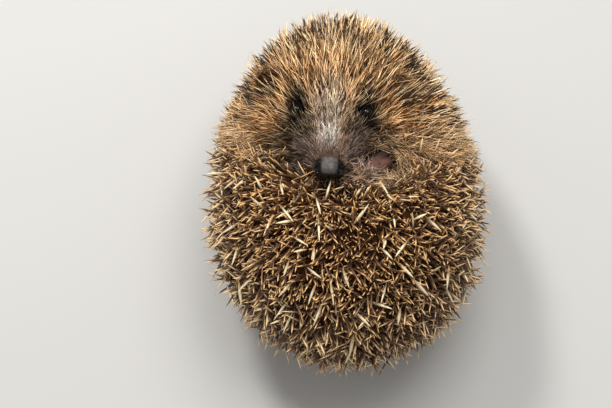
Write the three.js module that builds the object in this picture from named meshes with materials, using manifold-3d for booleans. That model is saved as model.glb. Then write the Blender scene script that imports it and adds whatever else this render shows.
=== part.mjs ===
// A hedgehog curled up on its back, as a still, life-size model.
// Millimetres. +Z is up, +Y runs towards the nape, and the origin is in the middle of the underside.
// One closed shape holds the whole body out to the tips of its quills. Thin cuts part it into head,
// neck, shoulders, back and rump. Muzzle, nose, eyes, ears, hind leg and foot are solids of their own.

import * as THREE from "three";
import { mergeVertices } from "three/addons/utils/BufferGeometryUtils.js";
import Module from "manifold-3d";

const wasm = await Module();
wasm.setup();
const { clamp, degToRad, lerp, mapLinear } = THREE.MathUtils;

// ---------------------------------------------------------------- driving dimensions

const ballWidth = 119.5; // across the flanks, quills included
const napeReach = 94; // from the widest section to the nape end
const rumpReach = 64; // from the widest section to the rump end
const ballHeight = 102; // from the floor to the top of the quills
const floorPress = 3; // how far the quills under the animal are pressed down
const furDepth = 1.5; // short fur on the face
const cutGap = 0.3; // between neighbouring solids

const eggCentre = [-1.5, -13.5, (ballHeight - floorPress) / 2]; // in the middle of the widest section

// The head has a frame of its own: x to the animal's left, y backwards, z out of the forehead.
const headCentre = new THREE.Vector3(-5.8, 22.2, 86.5); // midway between the eyes
const headTurn = degToRad(-6.5); // about the vertical
const headPitch = degToRad(-22.5); // lifts the nose
const noseReach = 31; // from the head's origin forward to the middle of the nose
const eyeRadius = 2.8;
const eyePlace = [14.0, -3.6, 4.1]; // the left eye's middle
const earSpread = 25.8;
const earBack = 12.5; // from the head's origin back to the ears
const earHeight = 0.5;

const headMatrix = new THREE.Matrix4()
  .makeRotationFromEuler(new THREE.Euler(headPitch, 0, headTurn, "ZXY"))
  .setPosition(headCentre);
const intoHead = headMatrix.clone().invert();

// ---------------------------------------------------------------- the shape out to the coat tips

// Roughly the distance from a point to an ellipsoid, below zero inside.
function ellipsoidGap(p, centre, radii) {
  const x = (p.x - centre[0]) / radii[0];
  const y = (p.y - centre[1]) / radii[1];
  const z = (p.z - centre[2]) / radii[2];
  const level = Math.hypot(x, y, z);
  const slope = Math.hypot(x / radii[0], y / radii[1], z / radii[2]);
  return slope > 0 ? (level * (level - 1)) / slope : -Math.min(...radii);
}

// Joins two shapes with a fillet about as wide as the blend.
function join(a, b, blend) {
  const near = Math.max(blend - Math.abs(a - b), 0) / blend;
  return Math.min(a, b) - (near * near * blend) / 4;
}

function carve(a, b, blend) {
  return -join(-a, b, blend);
}

// The rolled-up body: an egg that is longer towards the nape, with a dish for the face.
const dishCentre = [-5, 11, 120];
const dishRadii = [36, 31, 32];

function eggRadii(y) {
  return [ballWidth / 2, y > eggCentre[1] ? napeReach : rumpReach, ballHeight - eggCentre[2]];
}

function bodyGap(p) {
  const egg = ellipsoidGap(p, eggCentre, eggRadii(p.y));
  return carve(egg, ellipsoidGap(p, dishCentre, dishRadii), 9);
}

function headGap(h) {
  const side = { x: Math.abs(h.x), y: h.y, z: h.z };
  const cranium = ellipsoidGap(h, [0, 14, -4], [23, 24, 15]);
  const face = ellipsoidGap(h, [0, 0, -4.5], [17, 15.5, 11]);
  const cheek = ellipsoidGap(side, [14, 4, -10], [14, 15, 11]);
  return join(join(cranium, face, 6), cheek, 6) - furDepth;
}

function coatGap(p) {
  const h = new THREE.Vector3(p.x, p.y, p.z).applyMatrix4(intoHead);
  return join(bodyGap(p), headGap(h), 7);
}

// ---------------------------------------------------------------- the body as one solid

const heart = new THREE.Vector3(-1, -2, 50); // every point of the surface is seen from here
const ringCount = 29;
const seamCount = 38;
const ringCrowding = 1.3; // above 1 the rings stand closer on the face
const searchSteps = 60;
const halvings = 14;

// Where the surface lies in a direction from the heart: the outermost place where the gap changes sign.
function surfaceAt(direction) {
  const at = (r) => direction.clone().multiplyScalar(r).add(heart);
  let outside = ballWidth;
  let inside = ballWidth;
  for (let i = 1; i <= searchSteps; i++) {
    inside = ballWidth * (1 - i / searchSteps);
    if (coatGap(at(inside)) < 0) break;
    outside = inside;
  }
  for (let i = 0; i < halvings; i++) {
    const middle = (inside + outside) / 2;
    if (coatGap(at(middle)) < 0) inside = middle;
    else outside = middle;
  }
  return at(inside);
}

// Faces between rings of points that run from one pole to the other.
function ringFaces(rings, seams) {
  const last = 1 + (rings - 1) * seams;
  const index = (ring, seam) => {
    if (ring === 0) return 0;
    return ring === rings ? last : 1 + (ring - 1) * seams + (seam % seams);
  };
  const faces = [];
  for (let ring = 0; ring < rings; ring++)
    for (let seam = 0; seam < seams; seam++) {
      const [a, b] = [index(ring, seam), index(ring, seam + 1)];
      const [c, d] = [index(ring + 1, seam), index(ring + 1, seam + 1)];
      if (ring === 0) faces.push(a, c, d);
      else if (ring === rings - 1) faces.push(a, c, b);
      else if (ring % 2) faces.push(a, d, b, a, c, d);
      else faces.push(a, c, b, b, c, d);
    }
  return faces;
}

// A closed ball of points on rings round an axis through the face, closest together on the face.
function bodyGeometry() {
  const facePoint = new THREE.Vector3(0, -14, 4).applyMatrix4(headMatrix);
  const pole = facePoint.sub(heart).normalize();
  const turn = new THREE.Quaternion().setFromUnitVectors(new THREE.Vector3(0, 0, 1), pole);
  const places = [];
  for (let ring = 0; ring <= ringCount; ring++) {
    const polar = Math.PI * Math.pow(ring / ringCount, ringCrowding);
    const seams = ring === 0 || ring === ringCount ? 1 : seamCount;
    for (let seam = 0; seam < seams; seam++) {
      const around = ((seam + (ring % 2) / 2) / seamCount) * 2 * Math.PI;
      const direction = new THREE.Vector3().setFromSphericalCoords(1, polar, around);
      direction.set(direction.z, direction.x, direction.y).applyQuaternion(turn);
      places.push(surfaceAt(direction));
    }
  }
  return new THREE.BufferGeometry().setFromPoints(places).setIndex(ringFaces(ringCount, seamCount));
}

// ---------------------------------------------------------------- solids

function solidOf(geometry, matrix = new THREE.Matrix4()) {
  const plain = geometry.clone().applyMatrix4(matrix);
  plain.deleteAttribute("normal");
  plain.deleteAttribute("uv");
  const merged = mergeVertices(plain, 1e-4);
  const mesh = new wasm.Mesh({
    numProp: 3,
    vertProperties: new Float32Array(merged.attributes.position.array),
    triVerts: new Uint32Array(merged.index.array),
  });
  return new wasm.Manifold(mesh);
}

// Corners closer together than the weld are made one, and the triangles that closes are dropped.
const weld = 0.02;

function geometryOf(solid) {
  const mesh = solid.getMesh();
  const loose = new THREE.BufferGeometry();
  loose.setAttribute("position", new THREE.BufferAttribute(new Float32Array(mesh.vertProperties), 3));
  loose.setIndex(new THREE.BufferAttribute(new Uint32Array(mesh.triVerts), 1));
  const geometry = mergeVertices(loose, weld);
  const corners = geometry.index.array;
  const faces = [];
  for (let i = 0; i < corners.length; i += 3) {
    const [a, b, c] = corners.slice(i, i + 3);
    if (a !== b && b !== c && c !== a) faces.push(a, b, c);
  }
  geometry.setIndex(faces);
  geometry.computeVertexNormals();
  return geometry;
}

// An ellipsoid solid, in the head's frame unless another one is given.
function blob(centre, radii, seams = 12, frame = headMatrix, tilt = [0, 0, 0]) {
  const sphere = new THREE.SphereGeometry(1, seams, Math.round(0.7 * seams));
  const place = new THREE.Matrix4().compose(
    new THREE.Vector3(...centre),
    new THREE.Quaternion().setFromEuler(new THREE.Euler(...tilt)),
    new THREE.Vector3(...radii),
  );
  return solidOf(sphere, frame.clone().multiply(place));
}

// ---------------------------------------------------------------- hollows in the body

// The fold where the spiny skirt of the shoulders meets that of the rump, from flank to flank: places
// in the plan, and how far below the top of the egg they lie.
const foldPlaces = [
  [-57, 30, 0],
  [-47, 21, 0],
  [-28, 3, 3],
  [-10, -11, 7],
  [8, -9, 7],
  [24, -2, 5],
  [43, 5, 1],
  [55, 10, 0],
];
const foldRadius = 4.5;
const foldRings = 22;
const foldSeams = 8;

// Height of the egg's top above a place in the plan.
function eggTop(x, y) {
  const [width, reach, height] = eggRadii(y);
  const level = ((x - eggCentre[0]) / width) ** 2 + ((y - eggCentre[1]) / reach) ** 2;
  return eggCentre[2] + height * Math.sqrt(Math.max(0, 1 - level));
}

// A spindle along the fold, thickest in the middle and closed to a point at each end.
function foldSolid() {
  const line = foldPlaces.map(([x, y, depth]) => new THREE.Vector3(x, y, eggTop(x, y) - depth));
  const curve = new THREE.CatmullRomCurve3(line);
  const frames = curve.computeFrenetFrames(foldRings);
  const places = [];
  for (let ring = 0; ring <= foldRings; ring++) {
    const centre = curve.getPointAt(ring / foldRings);
    const radius = foldRadius * Math.sqrt(Math.sin((Math.PI * ring) / foldRings));
    const seams = ring === 0 || ring === foldRings ? 1 : foldSeams;
    for (let seam = 0; seam < seams; seam++) {
      const around = ((seam + (ring % 2) / 2) / foldSeams) * 2 * Math.PI;
      const place = centre.clone().addScaledVector(frames.normals[ring], radius * Math.sin(around));
      places.push(place.addScaledVector(frames.binormals[ring], radius * Math.cos(around)));
    }
  }
  const geometry = new THREE.BufferGeometry().setFromPoints(places);
  return solidOf(geometry.setIndex(ringFaces(foldRings, foldSeams)));
}

// The hollow beside the muzzle where the hind foot shows.
function footPocket() {
  return blob([16, 1.5, 97], [10.5, 7.5, 14], 14, new THREE.Matrix4());
}

function earHollow(side) {
  return blob([side * earSpread, earBack - 3, 9], [9, 8, 10], 12);
}

// ---------------------------------------------------------------- the muzzle and nose

// Oval sections along the head's y axis: place, half width, top and bottom.
const muzzleSections = [
  [-7, 16.4, 7.5, -14],
  [-10.5, 16, 7.1, -13.6],
  [-14.5, 14.8, 6.3, -12.6],
  [-18.5, 13, 5.6, -11],
  [-22, 11, 5.1, -9],
  [-25.5, 8.9, 4.7, -7],
  [-28.5, 7.2, 4, -5.2],
  [-30.5, 5.6, 2.8, -3.8],
];
const muzzleSeams = 20;

function muzzleSolid(grow = 0) {
  const places = [];
  const foremost = muzzleSections.length - 1;
  muzzleSections.forEach(([y, halfWidth, top, bottom], section) => {
    const middle = (top + bottom) / 2;
    const stretch = section === 0 ? grow : section === foremost ? -grow : 0;
    if (section === 0) places.push(new THREE.Vector3(0, y + grow, middle));
    for (let seam = 0; seam < muzzleSeams; seam++) {
      const around = ((seam + ((section + 1) % 2) / 2) / muzzleSeams) * 2 * Math.PI;
      const x = (halfWidth + grow) * Math.sin(around);
      const z = middle + ((top - bottom) / 2 + grow) * Math.cos(around);
      places.push(new THREE.Vector3(x, y + stretch, z));
    }
    if (section === foremost) places.push(new THREE.Vector3(0, y - grow, middle));
  });
  const geometry = new THREE.BufferGeometry().setFromPoints(places);
  geometry.setIndex(ringFaces(muzzleSections.length + 1, muzzleSeams));
  return solidOf(geometry, headMatrix);
}

// The nose pad: a blunt, slightly square knob with a comma-shaped nostril in each side.
function nosePad(grow = 0) {
  const pad = blob([0, 0.5 - noseReach, 0.4], [5.4 + grow, 4.4 + grow, 4.2 + grow], 12);
  const wing = (side) => blob([side * 3.9, 1 - noseReach, -0.4], [2.5 + grow, 3.4 + grow, 3.4 + grow], 8);
  return pad.add(wing(-1)).add(wing(1));
}

function nostril(side) {
  return blob([side * 4.9, -1.4 - noseReach, 0.8], [1.2, 2.2, 2.1], 8, headMatrix, [0.35, 0, side * 0.35]);
}

// ---------------------------------------------------------------- eyes and ears

function eye(side, grow = 0) {
  const [x, y, z] = eyePlace;
  return blob([side * x, y, z], Array(3).fill(eyeRadius + grow), 10);
}

function eyeSocket(side) {
  const [x, y, z] = eyePlace;
  return blob([side * (x + 1), y, z + 3], [4, 4.6, 4.4], 10);
}

// An ear is an open cup: a blunt outer shell less a smaller one set forward in it.
function earFrame(side) {
  const tip = new THREE.Vector3(side * 0.25, 0.62, 0.62).normalize();
  const open = new THREE.Vector3(side * 0.35, -0.62, 0.7);
  open.addScaledVector(tip, -open.dot(tip)).normalize();
  const across = new THREE.Vector3().crossVectors(open, tip);
  const frame = new THREE.Matrix4().makeBasis(across, open, tip);
  frame.setPosition(side * earSpread, earBack, earHeight);
  return headMatrix.clone().multiply(frame);
}

function ear(side, grow = 0) {
  const outer = blob([0, 0, 0], [6.4 + grow, 3.4 + grow, 7.6 + grow], 12, earFrame(side));
  if (grow) return outer;
  return outer.subtract(blob([0, 2.2, 0.4], [5.2, 4.1, 6.4], 10, earFrame(side), [0, 0.2, 0]));
}

// ---------------------------------------------------------------- hind leg and foot

// The hind leg crosses under the chin, and its foot lies in the hollow beside the muzzle.
const ankle = [5.5, -4.8, 88.5];
const toeLine = new THREE.Vector3(0.8, 0.52, -0.12).normalize();
const toeCount = 4;
const toePitch = 2.1;

function footFrame(along) {
  const up = new THREE.Vector3(0, 0, 1);
  const across = new THREE.Vector3().crossVectors(up, toeLine).normalize();
  const above = new THREE.Vector3().crossVectors(toeLine, across);
  const frame = new THREE.Matrix4().makeBasis(toeLine, across, above);
  return frame.setPosition(new THREE.Vector3(...ankle).addScaledVector(toeLine, along));
}

function hindFoot(grow = 0) {
  let foot = blob([0, 0, 0], [7 + grow, 4.2 + grow, 3.6 + grow], 12, footFrame(8));
  for (let toe = 0; toe < toeCount; toe++) {
    const aside = (toe - (toeCount - 1) / 2) * toePitch;
    const spot = [14.5 - Math.abs(aside) * 0.5, aside, 0];
    foot = foot.add(blob(spot, [3 + grow, 1.2 + grow, 1.4 + grow], 6, footFrame(0)));
  }
  return foot;
}

function hindLeg(grow = 0) {
  return blob([-3, -1, -1], [7 + grow, 4.8 + grow, 4.6 + grow], 10, footFrame(0));
}

// ---------------------------------------------------------------- parting the body

// The body is curled about a line from flank to flank. A wedge holds what lies between two angles
// round that line, measured from the nape over the top of the ball.
const curlCentre = new THREE.Vector3(0, 24, 50);
const curlTurn = degToRad(-6);
const foldAngle = 128;
const wedgeReach = 3 * ballWidth;

function wedge(fromDegrees, toDegrees) {
  const [from, to] = [degToRad(fromDegrees), degToRad(toDegrees)];
  const middle = (from + to) / 2;
  const retreat = cutGap / 2 / Math.sin((to - from) / 2);
  const tip = new THREE.Vector2(Math.cos(middle), Math.sin(middle)).multiplyScalar(retreat);
  const corners = [from, middle, to].map((angle) =>
    new THREE.Vector2(Math.cos(angle), Math.sin(angle)).multiplyScalar(wedgeReach).add(tip),
  );
  const outline = new THREE.Shape([tip, ...corners]);
  const prism = new THREE.ExtrudeGeometry(outline, { depth: 2 * ballWidth, bevelEnabled: false });
  prism.translate(0, 0, -ballWidth);
  prism.rotateX(Math.PI / 2).rotateZ(Math.PI / 2);
  prism.rotateZ(curlTurn).translate(...curlCentre.toArray());
  return solidOf(prism);
}

const floorBlock = new THREE.BoxGeometry(4 * ballWidth, 4 * ballWidth, ballWidth);
floorBlock.translate(0, 0, -ballWidth / 2);

let body = solidOf(bodyGeometry()).subtract(solidOf(floorBlock));
body = body.subtract(foldSolid()).subtract(footPocket());
body = body.subtract(muzzleSolid(cutGap)).subtract(nosePad(cutGap));
body = body.subtract(hindFoot(cutGap)).subtract(hindLeg(cutGap));
for (const side of [-1, 1]) {
  body = body.subtract(earHollow(side)).subtract(ear(side, cutGap));
  body = body.subtract(eyeSocket(side)).subtract(eye(side, cutGap));
}

// The head's part of the body, from the crown to the chin.
function headSpace(grow = 0) {
  return blob([0, 8, -4], [31 + grow, 29 + grow, 24 + grow], 14);
}
const trunk = body.subtract(headSpace(cutGap));

// ---------------------------------------------------------------- the assembled animal

const finishes = {
  quills: { color: 0x8f6f50, roughness: 0.6 },
  fur: { color: 0x8c6c4c, roughness: 0.9 },
  muzzleFur: { color: 0x5f4f46, roughness: 0.9 },
  nose: { color: 0x141313, roughness: 0.35 },
  eye: { color: 0x050404, roughness: 0.05 },
  ear: { color: 0x5c463a, roughness: 0.8 },
  foot: { color: 0x7d6058, roughness: 0.6 },
};

const hedgehog = new THREE.Group();

function addNode(name, solid, finish) {
  const material = new THREE.MeshStandardMaterial({ metalness: 0, ...finishes[finish] });
  const mesh = new THREE.Mesh(geometryOf(solid), material);
  mesh.name = name;
  hedgehog.add(mesh);
}

const limbs = hindFoot(cutGap).add(hindLeg(cutGap));
const muzzle = muzzleSolid().subtract(nosePad(cutGap)).subtract(limbs);
addNode("muzzle", muzzle.subtract(eye(-1, cutGap)).subtract(eye(1, cutGap)), "muzzleFur");
addNode("head", body.intersect(headSpace()), "fur");
addNode("neck", trunk.intersect(wedge(20, foldAngle)), "quills");
addNode("shoulders", trunk.intersect(wedge(-60, 20)), "quills");
addNode("back", trunk.intersect(wedge(-140, -60)), "quills");
addNode("rump", trunk.intersect(wedge(foldAngle - 360, -140)), "quills");
addNode("nose", nosePad().subtract(nostril(-1)).subtract(nostril(1)), "nose");
for (const [side, name] of [[1, "left"], [-1, "right"]]) {
  addNode(`eye_${name}`, eye(side), "eye");
  addNode(`ear_${name}`, ear(side), "ear");
}
addNode("hind_foot_left", hindFoot(), "foot");
addNode("hind_leg_left", hindLeg().subtract(hindFoot(cutGap)), "fur");

// The box of the finished animal is centred over the origin.
const box = new THREE.Box3().setFromObject(hedgehog);
hedgehog.position.set(-(box.min.x + box.max.x) / 2, -(box.min.y + box.max.y) / 2, -box.min.z);

export default hedgehog;
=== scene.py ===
import math

import bpy
import numpy as np
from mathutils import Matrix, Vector


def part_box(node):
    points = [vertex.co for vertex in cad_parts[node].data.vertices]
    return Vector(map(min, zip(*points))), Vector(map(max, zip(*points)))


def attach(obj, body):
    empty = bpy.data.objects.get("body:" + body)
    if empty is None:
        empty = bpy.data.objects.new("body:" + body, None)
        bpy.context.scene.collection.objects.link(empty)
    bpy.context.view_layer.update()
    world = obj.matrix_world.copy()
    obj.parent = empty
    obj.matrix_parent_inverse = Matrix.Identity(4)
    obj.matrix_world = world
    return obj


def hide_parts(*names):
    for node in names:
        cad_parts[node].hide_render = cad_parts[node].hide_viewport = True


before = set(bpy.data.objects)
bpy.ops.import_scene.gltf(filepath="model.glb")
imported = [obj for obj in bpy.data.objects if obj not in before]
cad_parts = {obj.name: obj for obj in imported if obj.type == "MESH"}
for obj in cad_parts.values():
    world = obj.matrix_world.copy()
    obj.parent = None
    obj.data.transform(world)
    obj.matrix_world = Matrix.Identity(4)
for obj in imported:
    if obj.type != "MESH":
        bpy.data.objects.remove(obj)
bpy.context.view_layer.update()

# A hedgehog curled up on its back. Shapes are worked out in millimetres and put into the meshes in metres.
# The head has a frame of its own: x to the animal's left, y backwards, z out of the forehead.

millimetre = 0.001
sides = {1: "left", -1: "right"}


def boxMiddle(node):
    low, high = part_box(node)
    return np.array(low + high) / 2 / millimetre


def sizeOf(v):
    return np.linalg.norm(v, axis=-1)


def unit(v):
    return v / np.maximum(np.linalg.norm(v, axis=-1, keepdims=True), 1e-9)


# The part of a direction square to an axis, made one long.
def squareTo(axis, v):
    return unit(v - axis * (v @ axis))


# The first of a pair, plus a share of the way to the second.
def between(pair, share):
    return pair[0] + (pair[1] - pair[0]) * share


# A step from 0 to 1 with soft ends: three times t squared, less twice t cubed.
def smooth(x, start, end):
    t = np.clip((x - start) / (end - start), 0, 1)
    return t * t * (3 - 2 * t)


# Places with the right half laid over the left.
def mirrored(h):
    return np.concatenate([np.abs(h[:, :1]), h[:, 1:]], 1)


# Smooth uneven values over space, about nought with a spread of one: waves in random directions, added up.
def unevenness(p, wavelength, seed):
    rng = np.random.default_rng(seed)
    ways = unit(rng.normal(0, 1, (9, 3))) * 2 * np.pi / (wavelength * rng.uniform(0.7, 1.5, (9, 1)))
    return np.sin(p @ ways.T + rng.uniform(0, 2 * np.pi, 9)).sum(1) / 2.1


headPlan = {
    "eye": (14.0, -3.6, 4.1),  # the left eye's middle
    "noseBack": 27.3,  # from the nose's middle back to the line of the eyes
    "noseUp": 3.8,  # from the nose's middle up to the line of the eyes
}

eyeLeft, eyeRight, noseMiddle = (boxMiddle(n) for n in ("eye_left", "eye_right", "nose"))
headX = unit(eyeLeft - eyeRight)
towardsEyes = squareTo(headX, (eyeLeft + eyeRight) / 2 - noseMiddle)
overHead = np.cross(headX, towardsEyes)
noseTilt = math.atan2(headPlan["noseUp"], headPlan["noseBack"])
headY = towardsEyes * math.cos(noseTilt) - overHead * math.sin(noseTilt)
headZ = towardsEyes * math.sin(noseTilt) + overHead * math.cos(noseTilt)
headAxes = np.array([headX, headY, headZ])
eyePlace = np.array(headPlan["eye"])
headOrigin = (eyeLeft + eyeRight) / 2 - eyePlace[1] * headY - eyePlace[2] * headZ


def intoHead(p):
    return (p - headOrigin) @ headAxes.T


def outOfHead(h):
    return np.asarray(h, float) @ headAxes + headOrigin


# Shapes are gaps: below zero inside, above zero outside, in millimetres.

bodyPlan = {
    "width": 119.5,
    "napeReach": 94.0,  # from the widest section to the nape end
    "rumpReach": 64.0,
    "top": 52.5,  # from the middle to the top of the quills
    "middleHeight": 49.5,
    "coatDepth": 9.0,  # how far the skin lies under the tips of the quills
    "dish": ((-3.5, 24.5, 70.5), (36, 31, 32), 9),  # the hollow for the face: middle, radii and fillet
    "dishDepth": 0.8,  # how much of the depth counts in the dish
    "heart": (0.5, 11.5, 0.5),  # from the egg's middle to where every point of the skin is seen from
    "sole": (-1.2, -1.6, -1.2),  # from the middle of the foot's node to the middle of the bare foot
    # round the foot there is a hollow in the coat: its middle from the foot's, its radii and its fillet
    "coatHollow": ((0.5, 1.5, 6), (10.5, 7.5, 13), 2),
}
rumpLow, rumpHigh = (np.array(corner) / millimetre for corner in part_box("rump"))
eggMiddle = np.array([(rumpLow[0] + rumpHigh[0]) / 2, rumpLow[1] + bodyPlan["rumpReach"],
                      bodyPlan["middleHeight"]])
heart = eggMiddle + bodyPlan["heart"]
legMiddle, footMiddle = boxMiddle("hind_leg_left"), boxMiddle("hind_foot_left") + bodyPlan["sole"]
earMiddle = {side: boxMiddle("ear_" + name) for side, name in sides.items()}
eyeMiddle = {side: outOfHead(eyePlace * (side, 1, 1)) for side in sides}


# The level of scaled places, 1 on the surface, times what it is over 1, over its slope there.
def levelGap(scaled, radii):
    level = sizeOf(scaled)
    return level * (level - 1) / np.maximum(sizeOf(scaled / radii), 1e-6)


def ellipsoidGap(p, middle, radii):
    return levelGap((p - np.asarray(middle)) / radii, radii)


# The smaller of two gaps, less the square of how near they are to each other: a fillet as wide as blend.
def join(a, b, blend):
    near = np.maximum(blend - np.abs(a - b), 0) / blend
    return np.minimum(a, b) - near * near * blend / 4


def carve(a, b, blend):
    return -join(-a, b, blend)


# How far the egg reaches from its widest section, on the side of the nape or of the rump.
def eggReach(y):
    return np.where(y > eggMiddle[1], bodyPlan["napeReach"], bodyPlan["rumpReach"])


# The rolled-up body: an egg that is longer towards the nape. Depth moves it inwards.
def eggGap(p, depth=0.0):
    reach = eggReach(p[:, 1])
    wide = np.full_like(reach, bodyPlan["width"] / 2)
    radii = np.stack([wide, reach, np.full_like(reach, bodyPlan["top"])], -1) - depth
    return ellipsoidGap(p, eggMiddle, radii)


# The egg with a dish for the face.
def bodyGap(p, depth):
    middle, radii, fillet = bodyPlan["dish"]
    dish = ellipsoidGap(p, eggMiddle + middle, radii) - bodyPlan["dishDepth"] * depth
    return carve(eggGap(p, depth), dish, fillet)


skullPlan = {
    "cranium": ((0, 14, -4), (23, 24, 15)),
    "face": ((0, 0, -4.5), (17, 15.5, 11)),
    "cheek": ((14, 4, -10), (14, 15, 11)),
    "fillet": 6,
    "furDepth": 1.5,
}


# Cranium, face and two cheeks joined.
def skullGap(h):
    k = skullPlan
    front = join(ellipsoidGap(h, *k["cranium"]), ellipsoidGap(h, *k["face"]), k["fillet"])
    return join(front, ellipsoidGap(mirrored(h), *k["cheek"]), k["fillet"])


# The snout: an oval whose width, top and bottom follow the way forward, closed by a plane behind the nose.
muzzlePlan = {
    "forward": (-31, -28.5, -25.5, -22, -18.5, -14.5, -10.5, -5),
    "halfWidth": (5.6, 7.2, 8.9, 11, 13, 14.8, 16, 16.6),
    "top": (2.8, 4.0, 4.7, 5.1, 5.6, 6.3, 7.1, 7.6),
    "bottom": (-3.8, -5.2, -7, -9, -11, -12.6, -13.6, -14.2),
    "fillet": 2.5,
    "furDepth": 1.0,
    "furFillet": 2,  # where its fur meets the head's
}


def muzzleGap(h):
    m = muzzlePlan
    wide, top, bottom = (np.interp(h[:, 1], m["forward"], m[k]) for k in ("halfWidth", "top", "bottom"))
    half = (top - bottom) / 2
    scaled = np.stack([h[:, 0] / wide, (h[:, 2] - (top + bottom) / 2) / half], -1)
    gap = levelGap(scaled, np.stack([wide, half], -1))
    gap = carve(gap, h[:, 1] - m["forward"][0], m["fillet"])
    return carve(gap, m["forward"][-1] - h[:, 1], m["fillet"]) + m["furDepth"]


# The fold between the spiny skirts, from flank to flank: places in the plan and depths under the egg's top.
foldPlan = {
    "places": ((-55, 31, 0), (-45.5, 20, 0), (-26.5, 2, 3), (-8.5, -12, 7), (9.5, -10, 7), (25.5, -3, 5),
               (44.5, 4, 1), (55, 9, 0)),
    "radius": 6.0,
    "narrowing": 0.85,  # below 1 makes the groove wider than it is deep
    "halfLength": 54,
    "fillet": 4,
}
foldAcross, foldAlong, foldDepth = np.array(foldPlan["places"], float).T


def foldMiddle(x):
    return np.interp(x, foldAcross, foldAlong)


# How far places lie behind the middle of the fold, towards the crown.
def aboveFold(p):
    return p[:, 1] - foldMiddle(p[:, 0])


# A round groove that follows the fold under the top of the egg, and narrows towards both flanks.
def foldGap(p):
    across = np.clip(p[:, 0], foldAcross[0], foldAcross[-1])
    middle = foldMiddle(across)
    level = ((across - eggMiddle[0]) / (bodyPlan["width"] / 2)) ** 2
    level = level + ((middle - eggMiddle[1]) / eggReach(middle)) ** 2
    top = eggMiddle[2] + bodyPlan["top"] * np.sqrt(np.maximum(0, 1 - level)) - bodyPlan["coatDepth"]
    top = top - np.interp(across, foldAcross, foldDepth) / 2
    fade = foldPlan["radius"] * np.sqrt(np.clip(1 - (across / foldPlan["halfLength"]) ** 2, 0, 1))
    return np.hypot((p[:, 1] - middle) * foldPlan["narrowing"], p[:, 2] - top) - fade


# Forms cut into the flesh or joined to it: the middle from its base, the radii and the fillet.
fleshPlan = {
    "footHollow": ((0.5, 2.2, 6), (9.5, 7.5, 12), 2),
    "leg": ((-1, -1, -0.5), (7.5, 5.0, 4.2), 3),
    "earHollow": ((27.3, 8.5, 9), (8.5, 7.5, 10), 3),
    "lids": ((-0.4, 0, -1.4), (4.9, 4.6, 3.6), 2.5),
    "socket": ((0.4, 0, 1.9), (3.5, 3.3, 3.4), 1),
    "muzzleFillet": 3,
    "headFillet": 7,
}


def skinGap(p):
    h = intoHead(p)
    gap = carve(bodyGap(p, bodyPlan["coatDepth"]), foldGap(p), foldPlan["fillet"])
    head = join(skullGap(h), muzzleGap(h), fleshPlan["muzzleFillet"])
    gap = join(gap, head, fleshPlan["headFillet"])
    h = mirrored(h)
    for name, how, places, base in (("footHollow", carve, p, footMiddle), ("leg", join, p, legMiddle),
                                    ("earHollow", carve, h, np.zeros(3)), ("lids", join, h, eyePlace),
                                    ("socket", carve, h, eyePlace)):
        middle, radii, fillet = fleshPlan[name]
        gap = how(gap, ellipsoidGap(places, base + middle, radii), fillet)
    return gap


def withHollow(gap, p):
    middle, radii, fillet = bodyPlan["coatHollow"]
    return carve(gap, ellipsoidGap(p, footMiddle + middle, radii), fillet)


# Where the tips of the coat lie: body and head joined, less the fold and the hollow of the foot.
def tipGap(p):
    h = intoHead(p)
    outer = join(bodyGap(p, 0.0), skullGap(h) - skullPlan["furDepth"], fleshPlan["headFillet"])
    outer = join(outer, muzzleGap(h) - muzzlePlan["furDepth"], muzzlePlan["furFillet"])
    return withHollow(carve(outer, foldGap(p), foldPlan["fillet"]), p)


# The same without the head and the fold, for the quills that stand beside the snout and fill the fold.
def quillGap(p):
    return withHollow(bodyGap(p, 1.0), p)


# Slope of a gap, which points straight out of the surface.
def slopeOf(gap, p, step=0.25):
    parts = [gap(p + step * e) - gap(p - step * e) for e in np.eye(3)]
    return unit(np.stack(parts, -1))


# A closed surface seen whole from its middle: directions on rings round a pole, each followed inwards from
# far out by most of the gap until the gap is nothing. Crowding above 1 brings the rings closer to the pole.
def starSurface(gap, middle, pole, plan, steps=70):
    rings, seams = plan["rings"], plan["seams"]
    pole = unit(np.asarray(pole, float))
    aside = unit(np.cross(pole, (0.0, 0.0, 1.0) if abs(pole[2]) < 0.9 else (0.0, 1.0, 0.0)))
    other = np.cross(pole, aside)
    polar = np.pi * (np.arange(rings + 1) / rings) ** plan.get("crowding", 1)
    around = np.arange(seams + 1) / seams * 2 * np.pi
    polar, around = np.meshgrid(polar, around, indexing="ij")
    flat = np.cos(around)[..., None] * aside + np.sin(around)[..., None] * other
    way = (np.cos(polar)[..., None] * pole + np.sin(polar)[..., None] * flat).reshape(-1, 3)
    reach = np.full(len(way), float(plan["far"]))
    for _ in range(steps):
        reach -= 0.7 * np.clip(gap(middle + way * reach[:, None]), -0.5, 20)
    places = (middle + way * reach[:, None]).reshape(rings + 1, seams + 1, 3)
    places[:, -1] = places[:, 0]
    places[0] = places[0, 0]
    places[-1] = places[-1, 0]
    return places


# Places and triangles of a grid that is closed round its seams and comes to a point at both ends.
def closedMesh(grid):
    rings, seams = grid.shape[0] - 1, grid.shape[1] - 1

    def index(ring, seam):
        inner = 1 + (ring - 1) * seams + seam % seams
        return np.where(ring == 0, 0, np.where(ring == rings, 1 + (rings - 1) * seams, inner))
    ring, seam = np.meshgrid(np.arange(rings), np.arange(seams), indexing="ij")
    a, b = index(ring, seam), index(ring, seam + 1)
    c, d = index(ring + 1, seam), index(ring + 1, seam + 1)
    upper = np.stack([a, c, d], -1)[:-1].reshape(-1, 3)
    lower = np.stack([a, d, b], -1)[1:].reshape(-1, 3)
    places = np.concatenate([grid[0, :1], grid[1:-1, :-1].reshape(-1, 3), grid[-1, :1]])
    return places, np.concatenate([upper, lower])


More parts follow.
